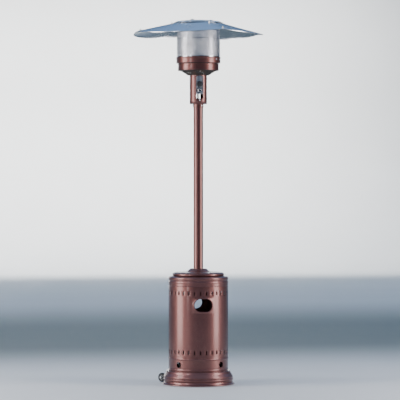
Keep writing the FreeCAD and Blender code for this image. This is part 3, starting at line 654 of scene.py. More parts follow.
def spin(bm: Mesh, outline: Sequence[Point], segments: int, place: Matrix = UPRIGHT,
         wave: Callable[[float, int], float] = lambda angle, row: 1.0) -> None:
    """Turn a closed outline round the Z axis of a place.

    Args:
        bm: The mesh to add to.
        outline: The section's (radius, level) points.
        segments: Steps round the axis.
        place: Where the axis lies.
        wave: Factor on the radius at an angle and outline point.
    """
    rings = []
    for row, (radius, level) in enumerate(outline):
        ring = []
        for j in range(segments):
            angle = 2 * math.pi * j / segments
            r = max(radius, 0.0) * wave(angle, row)
            ring.append(bm.verts.new(place @ Vector((r * math.cos(angle), r * math.sin(angle), level))))
        rings.append(ring)
    for low, high in zip(rings, rings[1:] + rings[:1]):
        for j in range(segments):
            k = (j + 1) % segments
            bm.faces.new((low[j], low[k], high[k], high[j]))


def lathe(name: str, outline: Sequence[Point], look: Look, segments: int = 160,
          place: Matrix = UPRIGHT) -> Piece:
    """A turned or spun piece.

    Args:
        name: The piece's name.
        outline: Its closed section as (radius, level) points.
        look: Its finish.
        segments: Steps round the axis.
        place: Where the axis lies.

    Returns:
        The piece.
    """
    bm = bmesh.new()
    spin(bm, outline, segments, place)
    return finish_mesh(name, bm, look)


def plain(piece: Piece) -> Piece:
    """Turn a piece's modifiers into a plain mesh.

    Args:
        piece: The piece, which keeps its place and name.

    Returns:
        The same piece.
    """
    graph = bpy.context.evaluated_depsgraph_get()
    graph.update()
    mesh = bpy.data.meshes.new_from_object(piece.evaluated_get(graph), depsgraph=graph)
    old = piece.data
    piece.modifiers.clear()
    piece.data = mesh
    mesh.name = piece.name
    bpy.data.meshes.remove(old)
    return piece


def thicken(piece: Piece, thickness: float) -> Piece:
    """Give an open skin its sheet thickness, inwards from its outer face.

    Args:
        piece: The skin.
        thickness: The sheet's thickness.

    Returns:
        The same piece.
    """
    solid = piece.modifiers.new("sheet", "SOLIDIFY")
    solid.thickness = thickness
    solid.offset = -1.0
    solid.use_even_offset = True
    return plain(piece)


def join(name: str, pieces: Sequence[Piece], look: Look, merge: float = MERGE) -> Piece:
    """Join pieces into one clean mesh.

    Args:
        name: The new piece's name.
        pieces: The pieces, which are used up.
        look: The finish.
        merge: Vertices nearer than this become one.

    Returns:
        The new piece.
    """
    bm = bmesh.new()
    for piece in pieces:
        bm.from_mesh(piece.data)
        bpy.data.objects.remove(piece)
    return finish_mesh(name, bm, look, merge=merge)


# ---------------------------------------------------------------- geometry node tools

class GeometryTree:
    """A node group that works on one geometry, with named inputs."""

    def __init__(self, name: str, inputs: dict[str, tuple[str, Any]]) -> None:
        """Open the group.

        Args:
            name: The group's name.
            inputs: Each input's socket type and value.
        """
        self.group = bpy.data.node_groups.new(name, "GeometryNodeTree")
        face = self.group.interface
        face.new_socket("Geometry", in_out="INPUT", socket_type="NodeSocketGeometry")
        self.values = {}
        for label, (kind, value) in inputs.items():
            socket = face.new_socket(label, in_out="INPUT", socket_type=kind)
            self.values[socket.identifier] = value
        face.new_socket("Geometry", in_out="OUTPUT", socket_type="NodeSocketGeometry")
        self.shop = Shop(self.group)
        self.start = self.shop.add("NodeGroupInput")

    def given(self, label: str) -> Signal:
        """A named input as a signal."""
        return Signal(self.shop, self.start.outputs[label])

    def close(self, geometry: Signal, join_within: Any = None) -> None:
        """Realize, weld if asked, set the material and end the tree.

        Args:
            geometry: What the tree has made.
            join_within: Vertices nearer than this become one, where it is given.
        """
        solid = self.shop.out("GeometryNodeRealizeInstances", None, {0: geometry})
        if join_within is not None:
            solid = self.shop.out("GeometryNodeMergeByDistance", None, {0: solid, "Distance": join_within})
        inputs = {0: solid, "Material": self.given("Material")}
        dressed = self.shop.out("GeometryNodeSetMaterial", None, inputs)
        self.shop.add("NodeGroupOutput", None, {0: dressed})

    def apply(self, piece: Piece) -> Piece:
        """Run the tree on a piece and keep the result as a plain mesh.

        Args:
            piece: The piece that the tree works on.

        Returns:
            The same piece.
        """
        modifier = piece.modifiers.new(self.group.name, "NODES")
        modifier.node_group = self.group
        for identifier, value in self.values.items():
            modifier[identifier] = value
        result = plain(piece)
        mesh = result.data
        mesh.polygons.foreach_set("use_smooth", [True] * len(mesh.polygons))
        mesh.set_sharp_from_angle(angle=math.radians(CRISP))
        return result


def ring_of_cells(cell: Piece, around: int, rows: int, pitch: float, stagger: float,
                  look: Look) -> Piece:
    """Repeat one cell of sheet round the centre line and up it, welded into one skin.

    Args:
        cell: The cell's mesh.
        around: Cells in a ring.
        rows: Rings, one above another.
        pitch: Height from one ring to the next.
        stagger: Share of a cell by which every other ring is turned.
        look: The finish.

    Returns:
        The piece, as a plain mesh.
    """
    tree = GeometryTree("ring_of_cells", {
        "Around": ("NodeSocketInt", around), "Rows": ("NodeSocketInt", rows),
        "Pitch": ("NodeSocketFloat", pitch), "Stagger": ("NodeSocketFloat", stagger),
        "Weld": ("NodeSocketFloat", WELD),
        "Material": ("NodeSocketMaterial", material(look))})
    shop = tree.shop
    count = tree.given("Around") * tree.given("Rows")
    index = shop.out("GeometryNodeInputIndex")
    row = shop.out("ShaderNodeMath", {"operation": "FLOOR"}, {0: (index + 0.5) / tree.given("Around")})
    odd = shop.out("ShaderNodeMath", {"operation": "MODULO"}, {0: row, 1: 2.0})
    turn = (index + odd * tree.given("Stagger")) * (2 * math.pi) / tree.given("Around")
    spot = shop.out("ShaderNodeCombineXYZ", None, {"Z": row * tree.given("Pitch")})
    facing = shop.out("ShaderNodeCombineXYZ", None, {"Z": turn})
    dots = shop.out("GeometryNodePoints", None, {"Count": count, "Position": spot})
    placed = shop.out("GeometryNodeInstanceOnPoints", None,
                      {"Points": dots, "Instance": tree.given("Geometry"), "Rotation": facing})
    tree.close(placed, tree.given("Weld"))
    return tree.apply(cell)


def fasteners(name: str, master: Piece, seats: Sequence[Seat],
              look: Look) -> Piece:
    """Set one fastener at each seat, square on its surface.

    Args:
        name: The piece's name.
        master: One fastener, built along +Z from the origin; it is used up.
        seats: Each seat's point, direction, and turn in degrees about it.
        look: The finish.

    Returns:
        All the fasteners as one plain mesh.
    """
    mesh = bpy.data.meshes.new(name)
    mesh.from_pydata([tuple(point) for point, _, _ in seats], [], [])
    facing = mesh.attributes.new("facing", "FLOAT_VECTOR", "POINT")
    for i, (_, direction, turn) in enumerate(seats):
        matrix = direction.to_track_quat("Z", "Y").to_matrix() @ Matrix.Rotation(math.radians(turn), 3, "Z")
        facing.data[i].vector = tuple(matrix.to_euler("XYZ"))
    piece = bpy.data.objects.new(name, mesh)
    bpy.context.scene.collection.objects.link(piece)
    tree = GeometryTree(name, {"Fastener": ("NodeSocketObject", master),
                               "Material": ("NodeSocketMaterial", material(look))})
    shop = tree.shop
    body = shop.out("GeometryNodeObjectInfo", None, {"Object": tree.given("Fastener")}, "Geometry")
    euler = shop.out("GeometryNodeInputNamedAttribute", {"data_type": "FLOAT_VECTOR"}, {"Name": "facing"})
    dots = shop.out("GeometryNodeMeshToPoints", None, {0: tree.given("Geometry")})
    placed = shop.out("GeometryNodeInstanceOnPoints", None,
                      {"Points": dots, "Instance": body, "Rotation": euler})
    tree.close(placed)
    result = tree.apply(piece)
    bpy.data.objects.remove(master)
    return result


# ---------------------------------------------------------------- sheets with holes

@dataclass
class Hole:
    """A rounded hole in a wall: half sizes, corner radius, and rings of (distance outside the edge, lift)."""

    half_width: float
    half_height: float
    corner: float
    rings: list[Point] = field(default_factory=lambda: [(0.0, -0.3 * MM), (0.9 * MM, 0.0)])

    def reach(self, across: float, up: float, extra: float) -> float:
        """How far the outline lies from the hole's centre in a direction.

        Args:
            across: The direction's part across the wall.
            up: Its part up the wall.
            extra: How much the outline is grown first.

        Returns:
            The distance.
        """
        width, height = self.half_width + extra, self.half_height + extra
        corner = self.corner + extra
        low, high = 0.0, width + height
        for _ in range(40):
            middle = (low + high) / 2
            x, y = abs(across) * middle, abs(up) * middle
            dx, dy = x - (width - corner), y - (height - corner)
            outside = math.hypot(dx, dy) > corner if dx > 0 and dy > 0 else x > width or y > height
            low, high = (low, middle) if outside else (middle, high)
        return low


@dataclass
class Wall:
    """An upright skin that turns round the centre line, from rows of (radius, level).

    Attributes:
        rows: The skin's (radius, level) points from bottom to top.
        columns: Steps round a full turn; column 0 is at the front.
    """

    rows: list[Point]
    columns: int

    def point(self, column: float, radius: float, level: float) -> Vector:
        """A point of the skin."""
        return seat(radius, 360.0 * column / self.columns, level)

    def radius_at(self, level: float) -> float:
        """The skin's radius at a level.

        Args:
            level: The level.

        Returns:
            The radius there.
        """
        for (r0, z0), (r1, z1) in zip(self.rows, self.rows[1:]):
            if z0 <= level <= z1:
                return r0 + (r1 - r0) * (level - z0) / (z1 - z0 or 1.0)
        return self.rows[-1][0]

    def row(self, level: float) -> int:
        """The number of the row nearest a level."""
        return min(range(len(self.rows)), key=lambda i: abs(self.rows[i][1] - level))

    def quads(self, bm: Mesh, columns: range, rows: range, skip: Cells = frozenset()) -> None:
        """Lay plain quads.

        Args:
            bm: The mesh to add to.
            columns: The columns to cover.
            rows: The rows to cover.
            skip: The cells to leave out, as (column, row).
        """
        grid = {}

        def vert(j: int, i: int) -> bmesh.types.BMVert:
            """The grid's vertex, made once.

            Args:
                j: The column.
                i: The row.

            Returns:
                The vertex.
            """
            key = (j % self.columns, i)
            if key not in grid:
                grid[key] = bm.verts.new(self.point(j, *self.rows[i]))
            return grid[key]

        for i in rows:
            for j in columns:
                if (j % self.columns, i) not in skip:
                    bm.faces.new((vert(j, i), vert(j + 1, i), vert(j + 1, i + 1), vert(j, i + 1)))

    def patch(self, bm: Mesh, columns: range, rows: range, hole: Hole) -> Cells:
        """Fill a block of cells with rings of quads round a hole.

        Args:
            bm: The mesh to add to.
            columns: The block's columns.
            rows: The block's rows.
            hole: The hole, in the middle of the block.

        Returns:
            The cells that the block takes, as (column, row).
        """
        left, right, low, high = columns[0], columns[-1] + 1, rows[0], rows[-1] + 1
        middle = (left + right) / 2
        level = (self.rows[low][1] + self.rows[high][1]) / 2
        step = math.radians(360.0 / self.columns) * self.radius_at(level)
        border = [(j, low) for j in range(left, right)] + [(right, i) for i in range(low, high)]
        border += [(j, high) for j in range(right, left, -1)] + [(left, i) for i in range(high, low, -1)]
        loops = [[bm.verts.new(self.point(j, *self.rows[i])) for j, i in border]]
        for extra, lift in reversed(hole.rings):
            loop = []
            for j, i in border:
                across, up = (j - middle) * step, self.rows[i][1] - level
                length = math.hypot(across, up)
                share = hole.reach(across / length, up / length, extra) / length
                z = level + up * share
                column = middle + (j - middle) * share
                loop.append(bm.verts.new(self.point(column, self.radius_at(z) + lift, z)))
            loops.append(loop)
        for outer, inner in zip(loops, loops[1:]):
            for k in range(len(border)):
                n = (k + 1) % len(border)
                bm.faces.new((outer[k], outer[n], inner[n], inner[k]))
        return {(j % self.columns, i) for j in columns for i in rows}


    def pierce(self, bm: Mesh, angle: float, level: float, half: float, reach: int, hole: Hole) -> Cells:
        """Put a hole at an angle and a level.

        Args:
            bm: The mesh to add to.
            angle: The hole's angle in degrees from the front.
            level: The level of its middle.
            half: Half the height of the block of cells that it takes.
            reach: Columns of that block to each side.
            hole: The hole.

        Returns:
            The cells that the block takes.
        """
        middle = round(angle / 360 * self.columns)
        rows = range(self.row(level - half), self.row(level + half))
        return self.patch(bm, range(middle - reach, middle + reach), rows, hole)


def with_levels(rows: Sequence[Point], levels: Sequence[float]) -> list[Point]:
    """Add rows at given levels to a skin whose levels only rise, dropping old rows that crowd a new one.

    Args:
        rows: The skin's (radius, level) points.
        levels: The levels to add.

    Returns:
        The skin's points with the new rows.
    """
    skin = Wall(list(rows), 4)
    extra = [(skin.radius_at(z), z) for z in levels]
    kept = [p for p in rows if all(abs(p[1] - z) > 0.4 * MM for z in levels)]
    return sorted(kept + extra, key=lambda p: p[1])


def span(low: float, high: float, count: int) -> list[float]:
    """Evenly spaced values, both ends included."""
    return [low + (high - low) * i / count for i in range(count + 1)]


def register(piece: Piece, body: str, look: Look, *nodes: str) -> Piece:
    """Ride a finished piece on a body, in the place of its CAD nodes.

    Args:
        piece: The piece.
        body: The body that it rides on.
        look: Not used.
        nodes: The CAD nodes whose place it takes.

    Returns:
        The piece.
    """
    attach(piece, body)
    if nodes:
        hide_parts(*nodes)
    LOG.info("%s rides on %s, %d faces", piece.name, body, len(piece.data.polygons))
    return piece


def turned(name: str, outline: Sequence[Point], look: Look, body: str, node: str = "", segments: int = 160,
           place: Matrix = UPRIGHT) -> None:
    """Turn a piece and register it.

    Args:
        name: The piece's name.
        outline: Its closed section as (radius, level) points.
        look: Its finish.
        body: The body that it rides on.
        node: The CAD node whose place it takes, if there is one.
        segments: Steps round the axis.
        place: Where the axis lies.
    """
    nodes = (node,) if node else ()
    register(lathe(name, outline, look, segments, place), body, look, *nodes)


def dress(look: Look, *nodes: str) -> None:
    """Give CAD nodes that keep their own mesh a finish.

    Args:
        look: The finish.
        nodes: The CAD nodes.
    """
    for node in nodes:
        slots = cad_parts[node].data.materials
        slots.clear()
        slots.append(material(look))


# ---------------------------------------------------------------- the heater's sub-assemblies

@dataclass
class Base:
    """Stamped base cover with its edge trim, ballast and the frame that carries the post."""

    body: str = "stand"
    segments: int = 192
    trim_width: float = 4 * MM
    guide_gap: float = 1.6 * MM
    guide_rise: float = 8 * MM
    guide_width: float = 7.2 * MM
    hole_radius: float = 36 * MM

    def build(self) -> None:
        """Make the cover and trim, and dress what they hide."""
        low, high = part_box("base_cover")
        trim_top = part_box("base_edge_trim")[1]
        rim, top = trim_top.x, high.z - self.guide_rise
        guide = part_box("housing_body")[1].x - WALL_BEAD - STEEL - self.guide_gap
        lip, neck, bulge, shoulder = rim - 1 * MM, rim - 13 * MM, rim - 7.5 * MM, rim - 10 * MM
        cover = sheet([
            (lip, low.z, 0), (lip, low.z + 5.5 * MM, 3 * MM), (lip - 7.5 * MM, low.z + 9 * MM, 3.5 * MM),
            (neck, top - 60 * MM, 7 * MM), (bulge, top - 56 * MM, 2.5 * MM), (bulge, top - 46 * MM, 3 * MM),
            (neck + 0.5 * MM, top - 42.5 * MM, 1.8 * MM), (shoulder, top - 39.5 * MM, 2 * MM),
            (shoulder, top - 34 * MM, 6 * MM), (rim - 22 * MM, top - 14 * MM, 15 * MM),
            (rim - 26 * MM, top, 4 * MM), (guide, top, 1 * MM), (guide, high.z, 2.5 * MM),
            (guide - self.guide_width, high.z, 2.5 * MM), (guide - self.guide_width, top, 1 * MM),
            (self.hole_radius, top, 0)])
        turned("base_shell", cover, Look.BRONZE, self.body, "base_cover", self.segments)
        inside = rim - self.trim_width
        trim = rounded([(inside, 0.2 * MM, 0), (inside, 0, 0), (rim, 0, 1.2 * MM),
                        (rim, trim_top.z, 1.2 * MM), (inside, trim_top.z, 0)])
        turned("edge_trim", trim, Look.TRIM, self.body, "base_edge_trim", self.segments)
        dress(Look.IRON, "ballast_plate")
        dress(Look.ZINC, "support_leg_right", "support_leg_left_rear", "support_leg_left_front",
              "post_mount_plate", "frame_bolts", "frame_nuts")


@dataclass
class Housing:
    """Lift-off cylinder housing: slotted wall, lid, neck collar and post bush."""

    body: str = "housing"
    columns: int = 192
    slot_count: int = 32
    slot_half_width: float = 4 * MM
    slot_half_height: float = 12.5 * MM
    slot_margin: float = 7 * MM
    slot_levels: Point = (121.5 * MM, 488.5 * MM)
    hand_level: float = 415 * MM
    hand_block: float = 52 * MM
    vent_level: float = 45 * MM
    vent_block: float = 22.5 * MM
    vent_radius: float = 17.5 * MM
    vent_angle: float = 39.375
    lid_radius: float = 160 * MM
    collar_foot: float = 70 * MM
    collar_neck: float = 52 * MM
    bush_flange: float = 38 * MM

    def build(self) -> None:
        """Make the four pieces."""
        self.build_wall()
        self.build_lid()

    def skin(self, radius: float, bottom: float, top: float) -> list[Point]:
        """The wall's outer skin with its beads and grooves, and the shoulder that turns in at its top.

        Args:
            radius: The wall's radius.
            bottom: The level of its foot.
            top: The level of its top.

        Returns:
            The skin's points, from bottom to top.
        """
        corners = [(radius, bottom, 0)]
        corners += bead(radius, bottom + 9 * MM, 4 * MM, WALL_BEAD)
        corners += bead(radius, bottom + 22 * MM, 2.4 * MM, -1.3 * MM, 0.8 * MM)
        corners += bead(radius, bottom + 78 * MM, 4.5 * MM, WALL_BEAD)
        corners += bead(radius, top - 61 * MM, 2.4 * MM, -1.3 * MM, 0.8 * MM)
        corners += bead(radius, top - 40 * MM, 5 * MM, 1.2 * MM)
        corners += bead(radius, top - 27.5 * MM, 5 * MM, -2.8 * MM)
        corners += bead(radius, top - 15.5 * MM, 4.5 * MM, 1 * MM)
        corners += [(radius, top - 8.5 * MM, 3 * MM), (self.lid_radius, top, 4 * MM), (146 * MM, top, 0)]
        return rounded(corners, 3)

    def build_wall(self) -> None:
        """Cut the slots, vents and hand holes into the wall and give it its thickness."""
        low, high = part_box("housing_body")
        bottom, top = low.z, high.z
        base = bottom - 0.3 * MM
        skin = self.skin(round(high.x - WALL_BEAD + 0.1 * MM, 4), bottom, top)
        wall_top = next(i for i, p in enumerate(skin) if p[1] >= top - 8.6 * MM)
        upright, shoulder = skin[:wall_top + 1], skin[wall_top:]
        bands = [base + above for above in self.slot_levels]
        half = self.slot_half_height + self.slot_margin
        hand, vent = base + self.hand_level, base + self.vent_level
        levels = []
        for band in bands:
            levels += span(band - half, band + half, 8)
        levels += span(hand - self.hand_block, hand + self.hand_block, 14)
        levels += span(vent - self.vent_block, vent + self.vent_block, 8)
        levels += span(base + 190 * MM, base + 340 * MM, 3)
        wall = Wall(with_levels(upright, levels), self.columns)
        taken, bm = set(), bmesh.new()
        slot_rows = [range(wall.row(band - half), wall.row(band + half)) for band in bands]
        for rows in slot_rows:
            taken |= {(j, i) for j in range(self.columns) for i in rows}
        rolled = [(0, -0.5 * MM), (0.4 * MM, 0.8 * MM), (1.5 * MM, 1.6 * MM), (3.2 * MM, 1.9 * MM),
                  (5 * MM, 1.6 * MM), (6.8 * MM, 0.7 * MM), (8.4 * MM, 0)]
        for angle in (0, 180):
            hole = Hole(56 * MM, 39.5 * MM, 39.5 * MM, rolled)
            taken |= wall.pierce(bm, angle, hand, self.hand_block, 13, hole)
        pressed = [(0, 0), (0.5 * MM, 0.9 * MM), (2.2 * MM, 0.9 * MM), (3.2 * MM, 0)]
        for k in range(4):
            hole = Hole(self.vent_radius, self.vent_radius, self.vent_radius, pressed)
            taken |= wall.pierce(bm, self.vent_angle + 90 * k, vent, self.vent_block, 4, hole)
        wall.quads(bm, range(self.columns), range(len(wall.rows) - 1), taken)
        cap = Wall(shoulder, self.columns)
        cap.quads(bm, range(self.columns), range(len(shoulder) - 1))
        pieces = [finish_mesh("wall", bm, Look.BRONZE)]
        slot = Hole(self.slot_half_width, self.slot_half_height, self.slot_half_width)
        for rows in slot_rows:
            cell = bmesh.new()
            wall.patch(cell, range(0, self.columns // self.slot_count), rows, slot)
            cell = finish_mesh("slot_cell", cell, Look.BRONZE)
            pieces.append(ring_of_cells(cell, self.slot_count, 1, 0.0, 0.0, Look.BRONZE))
        shell = thicken(join("housing_wall", pieces, Look.BRONZE, merge=WELD), STEEL)
        shell.data.set_sharp_from_angle(angle=math.radians(35))
        register(shell, self.body, Look.BRONZE, "housing_body")

    def build_lid(self) -> None:
        """Spin the lid, the neck collar and the black bush."""
        low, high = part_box("housing_lid")
        bottom, top = low.z, high.z
        edge, foot, neck = self.lid_radius + 1.5 * MM, self.collar_foot, self.collar_neck
        bush_low, bush_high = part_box("neck_bush")
        bore = POST_RADIUS + 0.5 * MM
        lid = sheet([(self.lid_radius - 3 * MM, bottom, 0), (edge, bottom + 5 * MM, 3 * MM),
                     (edge, top - 12 * MM, 4 * MM), (self.lid_radius - 10 * MM, top - 4 * MM, 6 * MM),
                     (foot + 12 * MM, top, 40 * MM), (bore + 3.2 * MM, top, 0)], steps=6)
        turned("lid_shell", lid, Look.BRONZE, self.body, "housing_lid", 192)
        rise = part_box("neck_collar")[1].z
        collar = sheet([(foot + 7 * MM, top + STEEL, 0), (foot, top + STEEL, 1.5 * MM),
                        (neck + 1.5 * MM, rise - 2.2 * MM, 2 * MM), (neck, rise - 0.4 * MM, 0)], steps=5)
        turned("neck_cone", collar, Look.BRONZE, self.body, "neck_collar")
        outer, flange, flange_top = bore + 3 * MM, self.bush_flange, top + 2.5 * MM
        bush = rounded([(bore, bush_low.z, 0), (outer, bush_low.z, 0), (outer, top, 0),
                        (flange, top, 0.6 * MM), (flange, flange_top, 0.6 * MM),
                        (outer, flange_top, 0.5 * MM), (outer, bush_high.z, 1 * MM), (bore, bush_high.z, 0)])
        turned("post_bush", bush, Look.PLASTIC, self.body, "neck_bush", 96)


@dataclass
class Post:
    """The tall post and the socket at its top."""

    body: str = "stand"
    wall: float = 1.5 * MM
    flange_height: float = 5 * MM
    weld: float = 2 * MM
    socket_wall: float = 2.2 * MM
    cup_depth: float = 29 * MM

    def build(self) -> None:
        """Make the tube with its foot flange, and the socket."""
        low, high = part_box("post_tube")
        bore, flange, flange_top = POST_RADIUS - self.wall, high.x, low.z + self.flange_height
        tube = rounded([(bore, low.z, 0), (flange, low.z, 0.8 * MM), (flange, flange_top, 0.8 * MM),
                        (POST_RADIUS + self.weld, flange_top, 0.5 * MM),
                        (POST_RADIUS, flange_top + self.weld, 1 * MM), (POST_RADIUS, high.z, 0.3 * MM),
                        (bore, high.z, 0)])
        turned("post_pipe", tube, Look.BRONZE, self.body, "post_tube", 96)
        low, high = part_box("head_socket")
        cup, floor = high.x, high.z - self.cup_depth
        socket = sheet([(SLEEVE_RADIUS, low.z, 0), (SLEEVE_RADIUS, floor, 2.5 * MM), (cup, floor, 3 * MM),
                        (cup, high.z, 0)], self.socket_wall)
        turned("post_socket", socket, Look.BRONZE, self.body, "head_socket", 96)


@dataclass
class ControlSection:
    """Windowed control housing with the knob, igniter and gas fittings behind it."""

    body: str = "stand"
    columns: int = 96
    window_level: float = 103 * MM
    window_block: float = 80 * MM
    shoulder: float = 3 * MM
    top_hole: float = 41 * MM
    stem_length: float = 9 * MM

    def build(self) -> None:
        """Make the housing, knob and button, and dress the fittings."""
        low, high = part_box("control_housing")
        middle, half, bend = low.z + self.window_level, self.window_block, high.z - self.shoulder
        window = Hole(22.8 * MM, 72 * MM, 10 * MM, [(0, -0.2 * MM), (1.0 * MM, 0)])
        levels = [low.z] + span(middle - half, middle + half, 32) + [bend]
        wall = Wall([(CONTROL_RADIUS, z) for z in levels], self.columns)
        bm, taken = bmesh.new(), set()
        for angle in (0, 180):
            taken |= wall.pierce(bm, angle, middle, half, 10, window)
        wall.quads(bm, range(self.columns), range(len(levels) - 1), taken)
        top = rounded([(CONTROL_RADIUS, bend, 0), (CONTROL_RADIUS, high.z, 2.9 * MM),
                       (self.top_hole, high.z, 0)])
        Wall(top[1:], self.columns).quads(bm, range(self.columns), range(len(top) - 2))
        shell = thicken(finish_mesh("control_shell", bm, Look.BRONZE), STEEL)
        register(shell, self.body, Look.BRONZE, "control_housing")
        self.build_knob()
        self.build_button()
        dress(Look.FASCIA, "control_plate")
        dress(Look.ZINC, "venturi")
        dress(Look.CASTING, "gas_valve_body", "pilot_gas_tube")
        dress(Look.BRASS, "press_sleeve", "valve_stem", "main_orifice", "pilot_burner", "thermocouple")
        dress(Look.PLASTIC, "igniter_body", "tilt_switch")
        dress(Look.RUBBER, "ignition_lead")

    def measure(self, node: str) -> tuple[float, float, Matrix]:
        """Measure a round piece that faces the front.

        Args:
            node: The CAD node.

        Returns:
            Its radius, its depth, and the place of its rear face with +Z turned to the front.
        """
        low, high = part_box(node)
        place = frame_matrix(Vector((0, high.y, (low.z + high.z) / 2)), Vector((0, -1, 0)))
        return (high.z - low.z) / 2, high.y - low.y, place

    def build_knob(self) -> None:
        """A fluted knob with a raised grip bar and a pale pointer line."""
        radius, depth, place = self.measure("control_knob")
        skirt_top, face = 5.2 * MM, depth - 3.6 * MM
        skirt = rounded([(0.0, 0.3 * MM, 0), (4 * MM, 0.3 * MM, 0), (radius - 0.4 * MM, 0, 0.5 * MM),
                         (radius, 4.6 * MM, 0.8 * MM), (radius - 3 * MM, skirt_top, 1 * MM)], 3)
        rise = rounded([(radius - 3 * MM, skirt_top, 0), (radius - 3.4 * MM, face - 0.6 * MM, 1.6 * MM),
                        (radius * 0.5, face, 2 * MM), (0.0, face, 0)], 4)
        edge, flutes, flute_depth = len(skirt), 12, 0.045
        bm = bmesh.new()
        spin(bm, skirt + rise, 144, place, lambda angle, row:
             1.0 if row < edge else 1.0 - flute_depth * max(0.0, math.cos(flutes * angle)) ** 2)
        grip = bmesh.ops.create_cube(bm, size=1.0)["verts"]
        length, width, taper, foot = radius * 1.72, radius * 0.44, 0.72, 5 * MM
        for v in grip:
            breadth = width * (1.0 if v.co.z < 0 else taper)
            v.co = place @ Vector((v.co.x * breadth, v.co.y * length, foot + (v.co.z + 0.5) * (depth - foot)))
        edges = list({e for v in grip for e in v.link_edges})
        bmesh.ops.bevel(bm, geom=edges, offset=1.6 * MM, segments=3, affect="EDGES")
        knob = finish_mesh("gas_knob", bm, Look.PLASTIC, merge=1e-6)
        register(knob, "knob", Look.PLASTIC, "control_knob")
        bm = bmesh.new()
        width, length, thick = 1.4 * MM, 8 * MM, 0.18 * MM
        for v in bmesh.ops.create_cube(bm, size=1.0)["verts"]:
            v.co = place @ Vector((v.co.x * width, radius * 0.52 + v.co.y * length,
                                   depth - 0.1 * MM + v.co.z * thick))
        bmesh.ops.bevel(bm, geom=list(bm.edges), offset=0.05 * MM, segments=1, affect="EDGES")
        register(finish_mesh("knob_pointer", bm, Look.POINTER), "knob", Look.POINTER)

    def build_button(self) -> None:
        """A domed chrome push button with its stem."""
        radius, depth, place = self.measure("igniter_button")
        stem, cap = 9 * MM, depth - self.stem_length
        outline = rounded([(0.0, 0.0, 0), (stem, 0.0, 0.5 * MM), (stem, cap, 0.3 * MM), (radius, cap, 1 * MM),
                           (radius, depth - 4 * MM, 3.2 * MM), (radius * 0.72, depth - 0.2 * MM, 1.0 * MM),
                           (radius * 0.62, depth - 1.0 * MM, 0.8 * MM), (0.0, depth - 0.6 * MM, 0)], 5)
        turned("push_button", outline, Look.CHROME, "igniter", "igniter_button", 72, place)


